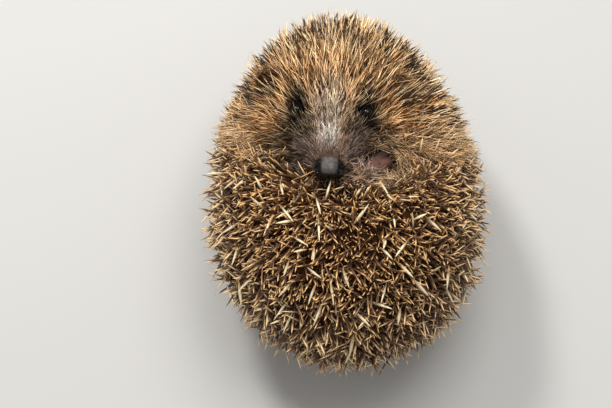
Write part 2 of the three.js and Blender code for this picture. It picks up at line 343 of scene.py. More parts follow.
# The same for a grid that is closed both ways, such as a ring of round section.
def ringMesh(grid):
    rings, seams = grid.shape[0] - 1, grid.shape[1] - 1
    ring, seam = np.meshgrid(np.arange(rings), np.arange(seams), indexing="ij")
    a, b = ring * seams + seam, ring * seams + (seam + 1) % seams
    c, d = (ring + 1) % rings * seams + seam, (ring + 1) % rings * seams + (seam + 1) % seams
    faces = np.concatenate([np.stack([a, c, d], -1).reshape(-1, 3), np.stack([a, d, b], -1).reshape(-1, 3)])
    return grid[:-1, :-1].reshape(-1, 3), faces


# Fills a mesh from arrays: places in millimetres, triangles, values or colours at the places, and a map.
def makePiece(name, places, faces, slot, material, values=None, bake=None):
    mesh = bpy.data.meshes.new(name)
    mesh.vertices.add(len(places))
    mesh.vertices.foreach_set("co", (places * millimetre).astype(np.float32).ravel())
    mesh.loops.add(faces.size)
    mesh.loops.foreach_set("vertex_index", faces.astype(np.int32).ravel())
    mesh.polygons.add(len(faces))
    mesh.polygons.foreach_set("loop_start", np.arange(0, faces.size, 3, dtype=np.int32))
    mesh.polygons.foreach_set("use_smooth", np.ones(len(faces), bool))
    mesh.update(calc_edges=True)
    for key, value in (values or {}).items():
        if value.ndim == 1:
            mesh.attributes.new(key, "FLOAT", "POINT").data.foreach_set("value", value.astype(np.float32))
            continue
        rgba = np.concatenate([value, np.ones((len(value), 1))], 1).astype(np.float32)
        mesh.attributes.new(key, "FLOAT_COLOR", "POINT").data.foreach_set("color", rgba.ravel())
    if bake is not None:
        corners = bake[faces.ravel()].astype(np.float32)
        mesh.uv_layers.new(name="OFBake").data.foreach_set("uv", corners.ravel())
    piece = bpy.data.objects.new(name, mesh)
    bpy.context.scene.collection.objects.link(piece)
    mesh.materials.append(material)
    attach(piece, "root")
    return piece


# Where fur, bristles and quills meet. Each edge is where one begins and where it has taken over.
coatPlan = {
    "face": ((0, -1, -6), (28.5, 27, 26)), "faceEdge": (1.08, 0.88), "faceHeight": (52, 66),
    "snoutEdge": (2.6, 1.2), "flankHeight": (80, 45), "crownHeight": (16, 46), "raggedWaves": (15, 7),
    # a value for the top of the ball and one for its flanks
    "ragged": (1, 6), "foldBegins": (-2, -11), "foldEnds": (5, 19),
}


# How far a place lies on the face: 1 on the muzzle and round the eyes, 0 among the quills.
def faceShare(p):
    c = coatPlan
    h = intoHead(p)
    middle, radii = c["face"]
    onHead = smooth(sizeOf((h - middle) / radii), *c["faceEdge"]) * smooth(p[:, 2], *c["faceHeight"])
    return np.maximum(onHead, smooth(muzzleGap(h), *c["snoutEdge"]))


# How far a place lies above the fold, among the long blond bristles of crown and shoulders. The two coats
# mingle in a ragged belt, which is narrow at the fold and wide towards the floor.
def crownShare(p):
    c = coatPlan
    lower = smooth(p[:, 2], *c["flankHeight"])
    ragged = unevenness(p, *c["raggedWaves"]) * between(c["ragged"], lower)
    above = smooth(aboveFold(p) + ragged, between(c["foldBegins"], lower), between(c["foldEnds"], lower))
    return above * smooth(p[:, 2] + ragged, *c["crownHeight"])


def linear(*rgb):
    c = np.array(rgb, float) / 255
    return np.where(c <= 0.04045, c / 12.92, ((c + 0.055) / 1.055) ** 2.4)


# Patches of fur colour in the head's frame: middle and radii in x and y, how sharp the edge is, and colour.
# A patch off the middle line shows on both sides.
facePatches = {
    "crown": ((0, 24), (34, 14), 4, (188, 144, 96)),
    "brow": ((0, -2), (9, 11), 3, (206, 158, 110)),
    "eyeStreak": ((13.6, 2.2), (2.6, 3.8), 2, (58, 42, 31)),
    "underEye": ((12.0, -12.8), (7.4, 8.6), 3, (42, 35, 32)),
    "bridge": ((0, -6), (6.5, 5.0), 2, (226, 188, 155)),
    "blazeTop": ((-1.0, -7), (5.2, 11), 3, (214, 192, 170)),
    "aroundNose": ((0, -32), (11, 5.5), 4, (104, 86, 74)),
    "blaze": ((-0.8, -19.4), (4.3, 7.4), 3, (240, 231, 220)),
    "snout": ((0, -25.4), (8.5, 4.0), 3, (140, 115, 100)),
    "snoutSide": ((11, -23), (6.5, 8), 4, (140, 119, 107)),
    "jowl": ((22, -17), (7, 8), 4, (108, 81, 60)),
    "eyeRim": ((14.0, -4.4), (4.8, 6.0), 5, (6, 4, 3)),
    # The last two patches are painted shade in the hollows round the foot and in the ears.
    "footHollow": ((21.5, -26), (8, 8), 3, (34, 22, 17)),
    "earHollow": ((26.5, 9), (5, 6), 3, (46, 33, 25)),
}
furBase = linear(209, 151, 93)
quillDark = linear(74, 46, 28)


# The markings of the face, the same for skin and coat, with painted shade in the hollows round the foot and
# in the ears: each patch is laid over those before it.
def markings(p):
    h = intoHead(p)
    colour = np.tile(furBase, (len(p), 1))
    for middle, radii, sharp, rgb in facePatches.values():
        across = h[:, 0] if abs(middle[0]) < 2 else np.abs(h[:, 0])
        level = np.hypot((across - middle[0]) / radii[0], (h[:, 1] - middle[1]) / radii[1])
        share = 1 / (1 + np.exp(np.clip((level - 1) * sharp * 2, -30, 30)))
        colour += (linear(*rgb) - colour) * share[:, None]
    return colour


# Sets a node's inputs, named with underscores for spaces or by number, to values or other nodes' outputs.
def setInputs(node, inputs):
    for key, value in inputs.items():
        label = key.replace("_", " ").strip()
        socket = node.inputs[int(label) if label.isdigit() else label]
        if isinstance(value, bpy.types.NodeSocket):
            node.id_data.links.new(value, socket)
        else:
            socket.default_value = value


# Adds a node and returns one of its outputs. A setting is a property of the node or one of its inputs.
def addNode(tree, kind, output=0, **settings):
    node = tree.nodes.new("ShaderNode" + kind)
    own = [key for key in settings if hasattr(node, key)]
    for key in own:
        setattr(node, key, settings.pop(key))
    setInputs(node, settings)
    return node.outputs[output]


def addTexture(tree, kind, **settings):
    return addNode(tree, kind, Vector=addNode(tree, "TexCoord", "Object"), **settings)


def newMaterial(name):
    material = bpy.data.materials.new(name)
    material.use_nodes = True
    return material, material.node_tree


def setShader(material, **inputs):
    setInputs(material.node_tree.nodes["Principled BSDF"], inputs)
    return material


# A ramp from one tint to another.
def tintRamp(tree, share, tints):
    colour = addNode(tree, "ValToRGB", _0=share)
    for stop, tint in zip(colour.node.color_ramp.elements, tints):
        stop.color = (*tint, 1)
    return colour


def newGroup(name, inputs, outputs):
    group = bpy.data.node_groups.new(name, "ShaderNodeTree")
    for side, sockets in (("INPUT", inputs), ("OUTPUT", outputs)):
        for label, (kind, value) in sockets.items():
            socket = group.interface.new_socket(name=label, in_out=side, socket_type="NodeSocket" + kind)
            if value is not None:
                socket.default_value = value
    return group, group.nodes.new("NodeGroupInput").outputs, group.nodes.new("NodeGroupOutput")


shaftInputs = {"Along": ("Float", 0.0), "Tone": ("Float", 0.5), "Tint": ("Color", (1, 1, 1, 1))}


# Colour along a shaft: darker near the root as painted shade under the coat, then a dark band between start
# and end, then the tip's own tint.
# Height is the fine ridges.
def makeBandGroup():
    group, given, result = newGroup(
        "shaftBands",
        {**shaftInputs, "Band": ("Float", 1.0), "Dark": ("Color", (0, 0, 0, 1)), "Start": ("Float", 0.3),
         "End": ("Float", 0.6)},
        {"Colour": ("Color", None), "Height": ("Float", None)})
    shifted = addNode(group, "Math", operation="MULTIPLY_ADD", _0=given["Tone"], _1=0.22, _2=given["Along"])
    edges = []
    for edge, width in (("Start", 0.06), ("End", 0.2)):
        upper = addNode(group, "Math", operation="ADD", _0=given[edge], _1=width)
        edges.append(addNode(group, "MapRange", interpolation_type="SMOOTHSTEP", Value=shifted,
                             From_Min=given[edge], From_Max=upper))
    inBand = addNode(group, "Math", operation="SUBTRACT", _0=edges[0], _1=edges[1])
    amount = addNode(group, "Math", operation="MULTIPLY", _0=inBand, _1=given["Band"])
    rise = addNode(group, "MapRange", interpolation_type="SMOOTHSTEP", Value=given["Along"], From_Max=0.6,
                   To_Min=0.15)
    shadedAtRoot = addNode(group, "VectorMath", operation="SCALE", _0=given["Tint"], Scale=rise)
    colour = addNode(group, "Mix", 2, data_type="RGBA", Factor=amount, _6=shadedAtRoot, _7=given["Dark"])
    ridges = addTexture(group, "TexNoise", Scale=2600.0, Detail=2.0)
    setInputs(result, {"Colour": colour, "Height": ridges})
    return group


# Colour along a hair: darker at the root as painted shade under the coat, the tint brightened or dimmed by
# each hair's tone.
def makeHairGroup():
    group, given, result = newGroup(
        "hairShade", {**shaftInputs, "Root": ("Float", 0.4), "Tip": ("Float", 1.2)},
        {"Colour": ("Color", None)})
    rise = addNode(group, "MapRange", Value=given["Along"], To_Min=given["Root"], To_Max=given["Tip"])
    strength = addNode(group, "MapRange", Value=given["Tone"], To_Min=0.14, To_Max=1.85)
    both = addNode(group, "Math", operation="MULTIPLY", _0=rise, _1=strength)
    scaled = addNode(group, "VectorMath", operation="SCALE", _0=given["Tint"], Scale=both)
    setInputs(result, {"Colour": scaled})
    return group


bandGroup, hairGroup = makeBandGroup(), makeHairGroup()


# Places a group in a material, with each shaft's own values read into it.
def useGroup(tree, group, **values):
    node = tree.nodes.new("ShaderNodeGroup")
    node.node_tree = group
    for key in ("Along", "Tone", "Tint", "Band"):
        if key in node.inputs:
            output = "Color" if key == "Tint" else "Fac"
            values[key] = addNode(tree, "Attribute", output, attribute_name=key.lower())
    setInputs(node, values)
    return node.outputs


def quillMaterial(name, dark, band, roughness):
    material, tree = newMaterial(name)
    bands = useGroup(tree, bandGroup, Dark=(*linear(*dark), 1), Start=band[0], End=band[1])
    bump = addNode(tree, "Bump", Strength=0.15, Distance=0.0001, Height=bands["Height"])
    return setShader(material, Base_Color=bands["Colour"], Roughness=roughness, Specular_IOR_Level=0.35,
                     Normal=bump)


def hairMaterial(name, shades):
    material, tree = newMaterial(name)
    shade = useGroup(tree, hairGroup, Root=shades[0], Tip=shades[1])
    return setShader(material, Base_Color=shade["Colour"], Roughness=0.62, Specular_IOR_Level=0.25)


# Skin: the markings, broken by two sizes of noise, with a fine bump for the flat hair.
def skinMaterial():
    material, tree = newMaterial("furredSkin")
    fine = addTexture(tree, "TexNoise", Scale=900.0, Detail=4.0)
    broad = addTexture(tree, "TexNoise", Scale=160.0, Detail=2.0)
    total = addNode(tree, "Math", operation="ADD", _0=fine, _1=broad)
    tint = addNode(tree, "Attribute", "Color", attribute_name="tint")
    colour = addNode(tree, "VectorMath", operation="SCALE", _0=tint, Scale=total)
    bump = addNode(tree, "Bump", Strength=0.5, Distance=0.0004, Height=fine)
    return setShader(material, Base_Color=colour, Roughness=0.85, Specular_IOR_Level=0.1, Normal=bump)


# Two tints mixed by a soft cloud.
def cloudedMaterial(name, scale, tints, roughness, gloss):
    material, tree = newMaterial(name)
    cloud = addTexture(tree, "TexNoise", Scale=scale, Detail=2.0)
    return setShader(material, Base_Color=tintRamp(tree, cloud, tints), Roughness=roughness,
                     Specular_IOR_Level=gloss)


# Nose leather: small cobbles, greyer on the top than round the moist nostrils, partly as dry leather and
# partly as a painted highlight where the top faces the lamps.
def noseMaterial():
    material, tree = newMaterial("noseLeather")
    dryAndSheen = addNode(tree, "Attribute", "Fac", attribute_name="dryAndSheen")
    cobbles = addTexture(tree, "TexVoronoi", Scale=2300.0)
    cloud = addTexture(tree, "TexNoise", Scale=650.0, Detail=4.0)
    spread = addNode(tree, "MapRange", Value=cloud, From_Min=0.3, From_Max=0.7, To_Min=0.35, To_Max=1.25)
    lift = addNode(tree, "MapRange", Value=cobbles, To_Min=1.15, To_Max=0.45)
    rough = addNode(tree, "Math", operation="MULTIPLY", _0=spread, _1=lift)
    patchy = addNode(tree, "Math", operation="MULTIPLY", use_clamp=True, _0=dryAndSheen, _1=rough)
    dryness = addNode(tree, "MapRange", Value=dryAndSheen, To_Min=0.2, To_Max=0.55)
    bump = addNode(tree, "Bump", invert=True, Strength=0.6, Distance=0.0002, Height=cobbles)
    return setShader(material, Base_Color=tintRamp(tree, patchy, (linear(4, 3, 3), linear(100, 93, 90))),
                     Roughness=dryness, Specular_IOR_Level=0.3, Normal=bump)


skinPlan = {
    "rings": 240, "seams": 330, "crowding": 1.4, "poleInHead": (0, -12, 4), "far": 105,
    # shaded, shadedEdge and shade place the painted shade in the hollow of the foot
    "shaded": ((0, 1.5, 2), (10.5, 8.5, 12)), "shadedEdge": (0.85, 1.15), "shade": (0.25, 1),
    "underQuills": 0.9, "underFur": (0.25, 0.22, 0.195),
}

skinGrid = starSurface(skinGap, heart, outOfHead(skinPlan["poleInHead"]) - heart, skinPlan)
skinNormals = slopeOf(skinGap, skinGrid.reshape(-1, 3)).reshape(skinGrid.shape)


# Dark among the quills, a dim copy of the markings on the face, and painted shade in the hollow of the foot.
def skinTint(p):
    s = skinPlan
    onFace = faceShare(p)[:, None]
    # Painted shade: the skin darkens deep in the hollow of the foot.
    middle, radii = s["shaded"]
    hollow = smooth(sizeOf((p - footMiddle - middle) / radii), *s["shadedEdge"])[:, None]
    tint = quillDark * s["underQuills"] * (1 - onFace) + markings(p) * s["underFur"] * onFace
    return tint * between(s["shade"], hollow)


# An ear is a cup: its profile runs from the back over the rim to the bottom of the hollow, and is carried
# round.
earPlan = {
    "radii": (6.4, 3.0, 7.6), "wall": 0.8, "opening": 1.75, "rim": 0.55,  # where the profile turns inwards
    "tip": (0.25, 0.62, 0.62), "mouth": (0.35, -0.62, 0.7), "around": 40, "along": 26,
    "colour": (80, 57, 42),
}


def earGrid(side):
    e = earPlan
    tip = unit(np.array(e["tip"]) * (side, 1, 1))
    mouth = squareTo(tip, np.array(e["mouth"]) * (side, 1, 1))
    axes = np.stack([np.cross(mouth, tip), mouth, tip]) @ headAxes
    profile = np.linspace(0, 1, e["along"] + 1)
    outside = profile <= e["rim"]
    polar = np.where(outside, profile / e["rim"], (1 - profile) / (1 - e["rim"])) * e["opening"]
    thin = np.where(outside, 0.0, e["wall"] * np.minimum((profile - e["rim"]) / 0.1, 1))[:, None]
    radii = np.array(e["radii"]) - thin
    around = np.linspace(0, 2 * np.pi, e["around"] + 1)[None]
    ring = np.sin(polar)[:, None] * radii[:, 0:1] * np.cos(around)
    depth = -np.cos(polar)[:, None] * radii[:, 1:2] * np.ones_like(around)
    rise = np.sin(polar)[:, None] * radii[:, 2:3] * np.sin(around)
    return np.stack([ring, depth, rise], -1) @ axes + earMiddle[side]


# A foot seen whole from the middle of its sole: the sole, its pads and its toes joined.
footPlan = {
    "toeLine": (0.8, 0.52, -0.3), "toes": 5, "pitch": 1.4, "sole": (5.4, 4.1, 3.1),
    "pads": ((3.0, 1.8, 1.9), (3.0, -1.8, 1.9), (-2.1, 0, 1.5)), "pad": (2.2, 1.6, 1.6),
    "padFillet": 1, "toe": (2.1, 0.95, 1.05), "toeFillet": 0.6, "spread": 1.1, "setBack": 0.45,
    "rise": (0.2, 0.05), "reach": 4.4, "heel": 0.9, "rings": 70, "seams": 90, "far": 16,
    # colour is the sole's own; ahead, height, aside, asideLight and light place painted shade on it
    "colour": (130, 94, 82), "ahead": (-3.5, 2.5), "height": (-2.5, 1.5), "aside": (5.0, 0.5),
    "asideLight": (0.3, 1), "light": (0.2, 1),
}


def footAxes():
    along = unit(np.array(footPlan["toeLine"]))
    across = unit(np.cross((0, 0, 1.0), along))
    return np.stack([along, across, np.cross(along, across)])


footCentre = footMiddle - footAxes()[0] * footPlan["heel"]


def toeSpots():
    f = footPlan
    aside = (np.arange(f["toes"]) - (f["toes"] - 1) / 2) * f["pitch"]
    rise = f["rise"][0] - f["rise"][1] * aside ** 2
    return np.stack([f["reach"] - np.abs(aside) * f["setBack"], aside * f["spread"], rise], -1)


def footGap(p):
    q = (p - footCentre) @ footAxes().T
    gap = ellipsoidGap(q, (0, 0, 0), footPlan["sole"])
    for pad in footPlan["pads"]:
        gap = join(gap, ellipsoidGap(q, pad, footPlan["pad"]), footPlan["padFillet"])
    for spot in toeSpots():
        gap = join(gap, ellipsoidGap(q, spot, footPlan["toe"]), footPlan["toeFillet"])
    return gap


footGrid = starSurface(footGap, footCentre, footAxes()[2], footPlan)


# Painted shade on the sole: it is darkest deep in the hollow, behind the heel and towards the outer side.
def footTintAndShade(p):
    f = footPlan
    lit = smooth(footMiddle[1] - p[:, 1], *f["ahead"]) * smooth(p[:, 2] - footMiddle[2], *f["height"])
    lit = lit * between(f["asideLight"], smooth(p[:, 0] - footMiddle[0], *f["aside"]))
    return linear(*f["colour"]) * between(f["light"], lit)[:, None]


# A lid is a rounded rim carried round the eyeball, wide across and narrow up and down like an almond.
lidPlan = {
    "ball": 2.8, "corner": 1.08, "middle": 0.82, "thick": 0.55, "lift": 0.35, "flatness": 1.3, "around": 56,
    "profile": 10,
    "out": (0.52, -0.28, 0.81), "along": (0.5, 0.86, 0.0), "colour": (5, 3, 2),
}


def eyeAxes(side):
    out = unit(np.array(lidPlan["out"]) * (side, 1, 1))
    along = squareTo(out, np.array(lidPlan["along"]) * (side, 1, 1))
    return np.stack([along, np.cross(out, along), out]) @ headAxes


def lidGrid(side):
    around = np.linspace(0, 2 * np.pi, lidPlan["around"] + 1)[:, None]
    opening = lidPlan["middle"] + (lidPlan["corner"] - lidPlan["middle"]) * np.cos(around) ** 2
    turn = np.linspace(0, 2 * np.pi, lidPlan["profile"] + 1)[None]
    reach = lidPlan["ball"] + lidPlan["thick"] * (lidPlan["lift"] + np.cos(turn))
    polar = opening + lidPlan["thick"] / lidPlan["ball"] * (1 + lidPlan["flatness"] * np.sin(turn))
    flat = np.sin(polar) * reach
    grid = np.stack([flat * np.cos(around), flat * np.sin(around), np.cos(polar) * reach], -1)
    return grid @ eyeAxes(side) + eyeMiddle[side]


# Eyelids, the shells of the ears and the foot are joined to the skin's own mesh, so that one skin covers all
# the flesh. A closed shell holds a positive volume when it faces outwards.
def makeSkin():
    shells = [(*closedMesh(skinGrid), skinTint), (*closedMesh(footGrid), footTintAndShade)]
    for side in sides:
        shells.append((*closedMesh(earGrid(side)), linear(*earPlan["colour"])))
        shells.append((*ringMesh(lidGrid(side)), linear(*lidPlan["colour"])))
    places, faces, tints, start = [], [], [], 0
    for shell, corners, colour in shells:
        a, b, c = (shell[corners[:, k]] - shell.mean(0) for k in range(3))
        if np.sum(a * np.cross(b, c)) < 0:
            corners = corners[:, ::-1]
        places.append(shell)
        faces.append(corners + start)
        tints.append(colour(shell) if callable(colour) else np.tile(colour, (len(shell), 1)))
        start += len(shell)
    skin = makePiece("skin", np.concatenate(places), np.concatenate(faces), "fur", skinMaterial(),
                     {"tint": np.concatenate(tints)})
    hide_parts("muzzle", "head", "neck", "shoulders", "back", "rump", "ear_left", "ear_right",
                "hind_foot_left", "hind_leg_left")


# Each eye is an even ball with a slight bulge at the front.
eyePlan = {
    "rings": 40, "seams": 56, "far": 5, "bulge": 2.3, "ahead": 0.7, "fillet": 0.5, "dark": (9, 5, 4),
    "clouds": (500.0, (0.5, 1.6)), "roughness": 0.14, "gloss": 0.2,
}


def makeEyes():
    scale, shades = eyePlan["clouds"]
    tints = [linear(*eyePlan["dark"]) * shade for shade in shades]
    wet = cloudedMaterial("wetEye", scale, tints, eyePlan["roughness"], eyePlan["gloss"])
    for side, name in sides.items():
        middle, out = eyeMiddle[side], eyeAxes(side)[2]

        def ballGap(p):
            bulge = sizeOf(p - middle - out * eyePlan["ahead"]) - eyePlan["bulge"]
            return join(sizeOf(p - middle) - lidPlan["ball"], bulge, eyePlan["fillet"])
        grid = starSurface(ballGap, middle, out, eyePlan)
        ball = makePiece("eyeball_" + name, *closedMesh(grid), "eye", wet)
        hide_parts("eye_" + name)


# The nose: a pad and two wings joined, with nostrils, slits and a groove cut in, each with its fillet.
nosePlan = {
    "pad": ((0, -0.4, 0.0), (3.9, 4.2, 4.5), 2.7),  # the last is 2 for an oval and more for a rounded block
    "wing": ((3.7, 0.0, -0.9), (2.4, 3.6, 3.9), 2.3),
    "fillet": 0.9,
    "nostril": ((4.7, -1.9, 1.5), (1.0, 2.4, 1.9), 0.5),
    "slit": ((5.7, 1.0, 0.2), (1.3, 2.6, 0.75), 0.4),
    "groove": ((0, -4.9, -2.4), (0.4, 1.3, 2.8), 0.6),
    "rings": 100, "seams": 140, "far": 12,
    # the grey top: partly dry leather, partly painted highlight
    "dryAndSheenTop": (0.3, -0.9, 1.0), "dryAndSheenSides": (0.12, 3.2, 2.4),  # how far the edge slopes, and the edge
}


# A rounded block's level at a point, over its slope there.
def blockGap(p, middle, radii, square):
    q = np.abs((p - np.asarray(middle)) / radii) + 1e-6
    level = np.sum(q ** square, -1) ** (1 / square)
    slope = sizeOf((q / level[:, None]) ** (square - 1) / radii)
    return (level - 1) / np.maximum(slope, 1e-6)


def fromNose(p):
    return intoHead(p) - intoHead(noseMiddle[None])


def noseGap(p):
    side = mirrored(fromNose(p))
    gap = join(blockGap(side, *nosePlan["pad"]), blockGap(side, *nosePlan["wing"]), nosePlan["fillet"])
    for hollow in ("nostril", "slit", "groove"):
        middle, radii, fillet = nosePlan[hollow]
        gap = carve(gap, ellipsoidGap(side, middle, radii), fillet)
    return gap


def makeNose():
    places, faces = closedMesh(starSurface(noseGap, noseMiddle, -headY, nosePlan))
    h = fromNose(places)
    # The grey top is partly dry leather and partly a painted highlight.
    slope, *edge = nosePlan["dryAndSheenTop"]
    dryAndSheen = smooth(h[:, 2] + slope * h[:, 1], *edge)
    slope, *edge = nosePlan["dryAndSheenSides"]
    dryAndSheen = dryAndSheen * smooth(np.abs(h[:, 0]) - slope * h[:, 2], *edge)
    nose = makePiece("noseLeather", places, faces, "nose", noseMaterial(), {"dryAndSheen": dryAndSheen})
    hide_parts("nose")


# Tapered shafts. Ring k lies at station t: the root plus the way times length times t, plus the bend times t
# squared, with the radius times the taper there. A point closes each end.
def shafts(coat, stations, tapers, corners):
    roots, ways, lengths, radii, bends = (coat[k] for k in ("roots", "ways", "lengths", "radii", "bends"))
    count, rings = len(roots), len(stations)
    t, taper = np.array(stations)[None, :, None], np.array(tapers)[None, :, None]
    aside = unit(np.cross(ways, np.where(np.abs(ways[:, 2:3]) < 0.8, (0, 0, 1.0), (1.0, 0, 0))))
    other = np.cross(ways, aside)
    middles = roots[:, None] + ways[:, None] * lengths[:, None, None] * t + bends[:, None] * t ** 2
    turn = np.arange(corners) / corners * 2 * np.pi
    flat = aside[:, None] * np.cos(turn)[None, :, None] + other[:, None] * np.sin(turn)[None, :, None]
    rims = middles[:, :, None] + flat[:, None] * (radii[:, None, None] * taper)[..., None]
    tips = roots + ways * lengths[:, None] + bends
    places = np.concatenate([roots[:, None], rims.reshape(count, -1, 3), tips[:, None]], 1)
    ring, seam = np.meshgrid(np.arange(rings - 1), np.arange(corners), indexing="ij")
    a, b = 1 + ring * corners + seam, 1 + ring * corners + (seam + 1) % corners
    wall = np.concatenate([np.stack([a, b, b + corners], -1), np.stack([a, b + corners, a + corners], -1)])
    s = np.arange(corners)
    foot = np.stack([1 + (s + 1) % corners, 1 + s, np.zeros_like(s)], -1)
    last = 1 + (rings - 1) * corners
    tip = np.stack([last + s, last + (s + 1) % corners, np.full_like(s, 1 + rings * corners)], -1)
    one = np.concatenate([wall.reshape(-1, 3), foot, tip])
    size = 2 + rings * corners
    faces = (one[None] + np.arange(count)[:, None, None] * size).reshape(-1, 3)
    along = np.concatenate([[0], np.repeat(stations, corners), [1]])
    around = np.concatenate([[0], np.tile(turn / (2 * np.pi), rings), [0]])
    return places.reshape(-1, 3), faces, along, around


patchSize = 0.003  # each shaft's patch on the skin's own map
mostTriangles = 190000  # in one piece
leastHeight = 0.15  # no tip is lower over the floor


def onlyThose(coat, chosen):
    return {key: array[chosen] for key, array in coat.items()}


# A coat holds roots, ways, lengths, radii, bends, tints, tones, bands and maps. Each is an array or one value
# for all, from which an array is made, and only the shafts to keep are left in it.
def coatOf(keep=slice(None), bands=0.0, **values):
    count = len(values["roots"])
    values["bands"] = bands
    full = {key: np.full((count, *np.shape(value)[1:]), value) for key, value in values.items()}
    return onlyThose(full, keep)


# Puts shafts into a piece with their values, tints and map, cut into several pieces to keep each one small.
# The shape holds the stations, the tapers there and the number of corners.
def shaftPiece(name, slot, material, shape, *coats):
    coat = {key: np.concatenate([one[key] for one in coats]) for key in coats[0]}
    tips = coat["roots"] + coat["ways"] * coat["lengths"][:, None] + coat["bends"]
    coat["bends"][:, 2] += np.maximum(leastHeight - tips[:, 2], 0)
    total = len(tips)
    perShaft = len(shape[0]) * shape[2] * 2
    chunks = math.ceil(total * perShaft / mostTriangles)
    for number, part in enumerate(np.array_split(np.arange(total), chunks)):
        own = onlyThose(coat, part)
        places, faces, along, around = shafts(own, *shape)
        patch = np.stack([around - 0.5, along - 0.5], -1) * patchSize
        bake = np.clip((own["maps"][:, None] + patch[None]).reshape(-1, 2), 0, 1)
        label = name if chunks == 1 else f"{name}_{number + 1}"
        values = {key[:-1]: np.repeat(own[key], len(along), 0) for key in ("tones", "bands", "tints")}
        values["along"] = np.tile(along, len(part))
        makePiece(label, places, faces, slot, material, values, bake)
    print(name, total, "shafts,", total * perShaft, "triangles")


# Claws: curved cones at the toes.
clawPlan = {
    "length": 3.6, "radius": 0.5, "curl": 0.9, "root": (1.3, 0, 0.2), "spread": (1, 0.5, 0),
    "ahead": (3, 0, 0.4), "dark": (46, 31, 24), "pale": (120, 94, 74), "streaks": 700.0, "roughness": 0.35,
    "gloss": 0.5,
    "shape": ((0.0, 0.2, 0.4, 0.6, 0.8, 0.92), (0.8, 1, 0.9, 0.72, 0.45, 0.25), 10),
}


def makeClaws():
    c = clawPlan
    tints = linear(*c["dark"]), linear(*c["pale"])
    horn = cloudedMaterial("claw", c["streaks"], tints, c["roughness"], c["gloss"])
    axes, spots = footAxes(), toeSpots()
    claws = coatOf(roots=(spots + c["root"]) @ axes + footCentre, lengths=c["length"], radii=c["radius"],
                   ways=unit(spots * c["spread"] + c["ahead"]) @ axes, bends=-axes[None, 2] * c["curl"])
    places, faces, *_ = shafts(claws, *c["shape"])
    makePiece("claws", places, faces, "foot", horn)


makeSkin()
print("skin made")
makeEyes()
makeNose()
makeClaws()
print("eyes, nose and claws made")

goldenShare = 0.6180339887


# Roots spread over a grid so that their number follows the weight of each face. A golden-ratio lattice is
# read down the running total of the rings and then round each ring, with a little seeded jitter.
def scatter(plan, weight, seed, places=skinGrid, normals=skinNormals):
    count = plan.get("count") or int(weight.sum() * plan["perSquareMillimetre"])
    rng = np.random.default_rng(seed)
    rings, seams = weight.shape
    jitter = 0.35 / math.sqrt(count)
    down = np.clip((np.arange(count) + 0.5) / count + rng.normal(0, jitter, count), 1e-6, 1 - 1e-6)
    turn = (np.arange(count) * goldenShare + rng.normal(0, jitter, count)) % 1
    total = weight.sum(1)
    running = np.concatenate([[0], np.cumsum(total)]) / total.sum()
    ring = np.clip(np.searchsorted(running, down, "right") - 1, 0, rings - 1)
    f = ((down - running[ring]) / np.maximum(running[ring + 1] - running[ring], 1e-12))[:, None]
    within = np.concatenate([np.zeros((rings, 1)), np.cumsum(weight, 1)], 1)
    within = within / np.maximum(total, 1e-12)[:, None]
    flat = (within[:, 1:] + np.arange(rings)[:, None]).ravel()
    seam = np.clip(np.searchsorted(flat, ring + turn) - ring * seams, 0, seams - 1)
    span = np.maximum(within[ring, seam + 1] - within[ring, seam], 1e-12)
    g = np.clip((turn - within[ring, seam]) / span, 0, 1)[:, None]

    def onFace(grid):
        upper = grid[ring, seam] * (1 - g) + grid[ring, seam + 1] * g
        lower = grid[ring + 1, seam] * (1 - g) + grid[ring + 1, seam + 1] * g
        return upper * (1 - f) + lower * f
    maps = np.stack([(seam + g[:, 0]) / seams, (ring + f[:, 0]) / rings], -1)
    return count, onFace(places), unit(onFace(normals)), maps, rng


# Area of each face: half the length of its diagonals' cross product.
def faceArea(grid):
    return sizeOf(np.cross(grid[1:, 1:] - grid[:-1, :-1], grid[1:, :-1] - grid[:-1, 1:])) / 2


# A grid's normals, facing outwards.
def gridNormals(grid):
    normals = unit(np.cross(np.gradient(grid, axis=0), np.gradient(grid, axis=1)))
    normals[0], normals[-1] = unit(normals[1].sum(0)), unit(normals[-2].sum(0))
    return normals if np.sum((grid - grid.mean((0, 1))) * normals) > 0 else -normals


# The level of an oval seen from above, 1 on its edge, with its middle measured from the foot's.
def footLevel(p, middle, radii):
    return np.hypot(*(((p - footMiddle)[:, :2] - middle) / radii).T)


# Each pair is the level or the distance at which roots begin and the one from which all grow.
rootPlan = {
    "eye": (2.9, 3.3), "nose": (4.5, 4.9), "foot": (0.85, 1.05),
    "footOval": ((0, 0, 2), (10, 7.5, 9)),
    "softOval": ((1.5, 0.5), (17, 11)),  # soft hair alone grows here, round the hollow of the foot
    "softLevel": (1.15, 0.9), "softHeight": (68, 76),
    "parting": (0, -36, 0),  # in the head's frame, the point that the coat is combed away from
    "straighter": (24, 11, 27),  # how far the parting moves back on the flanks, and from where to where
}

skinFaces = (skinGrid[:-1, :-1] + skinGrid[1:, :-1] + skinGrid[:-1, 1:] + skinGrid[1:, 1:]).reshape(-1, 3) / 4
faceAreas = faceArea(skinGrid)


def onGrid(values):
    return values.reshape(faceAreas.shape)


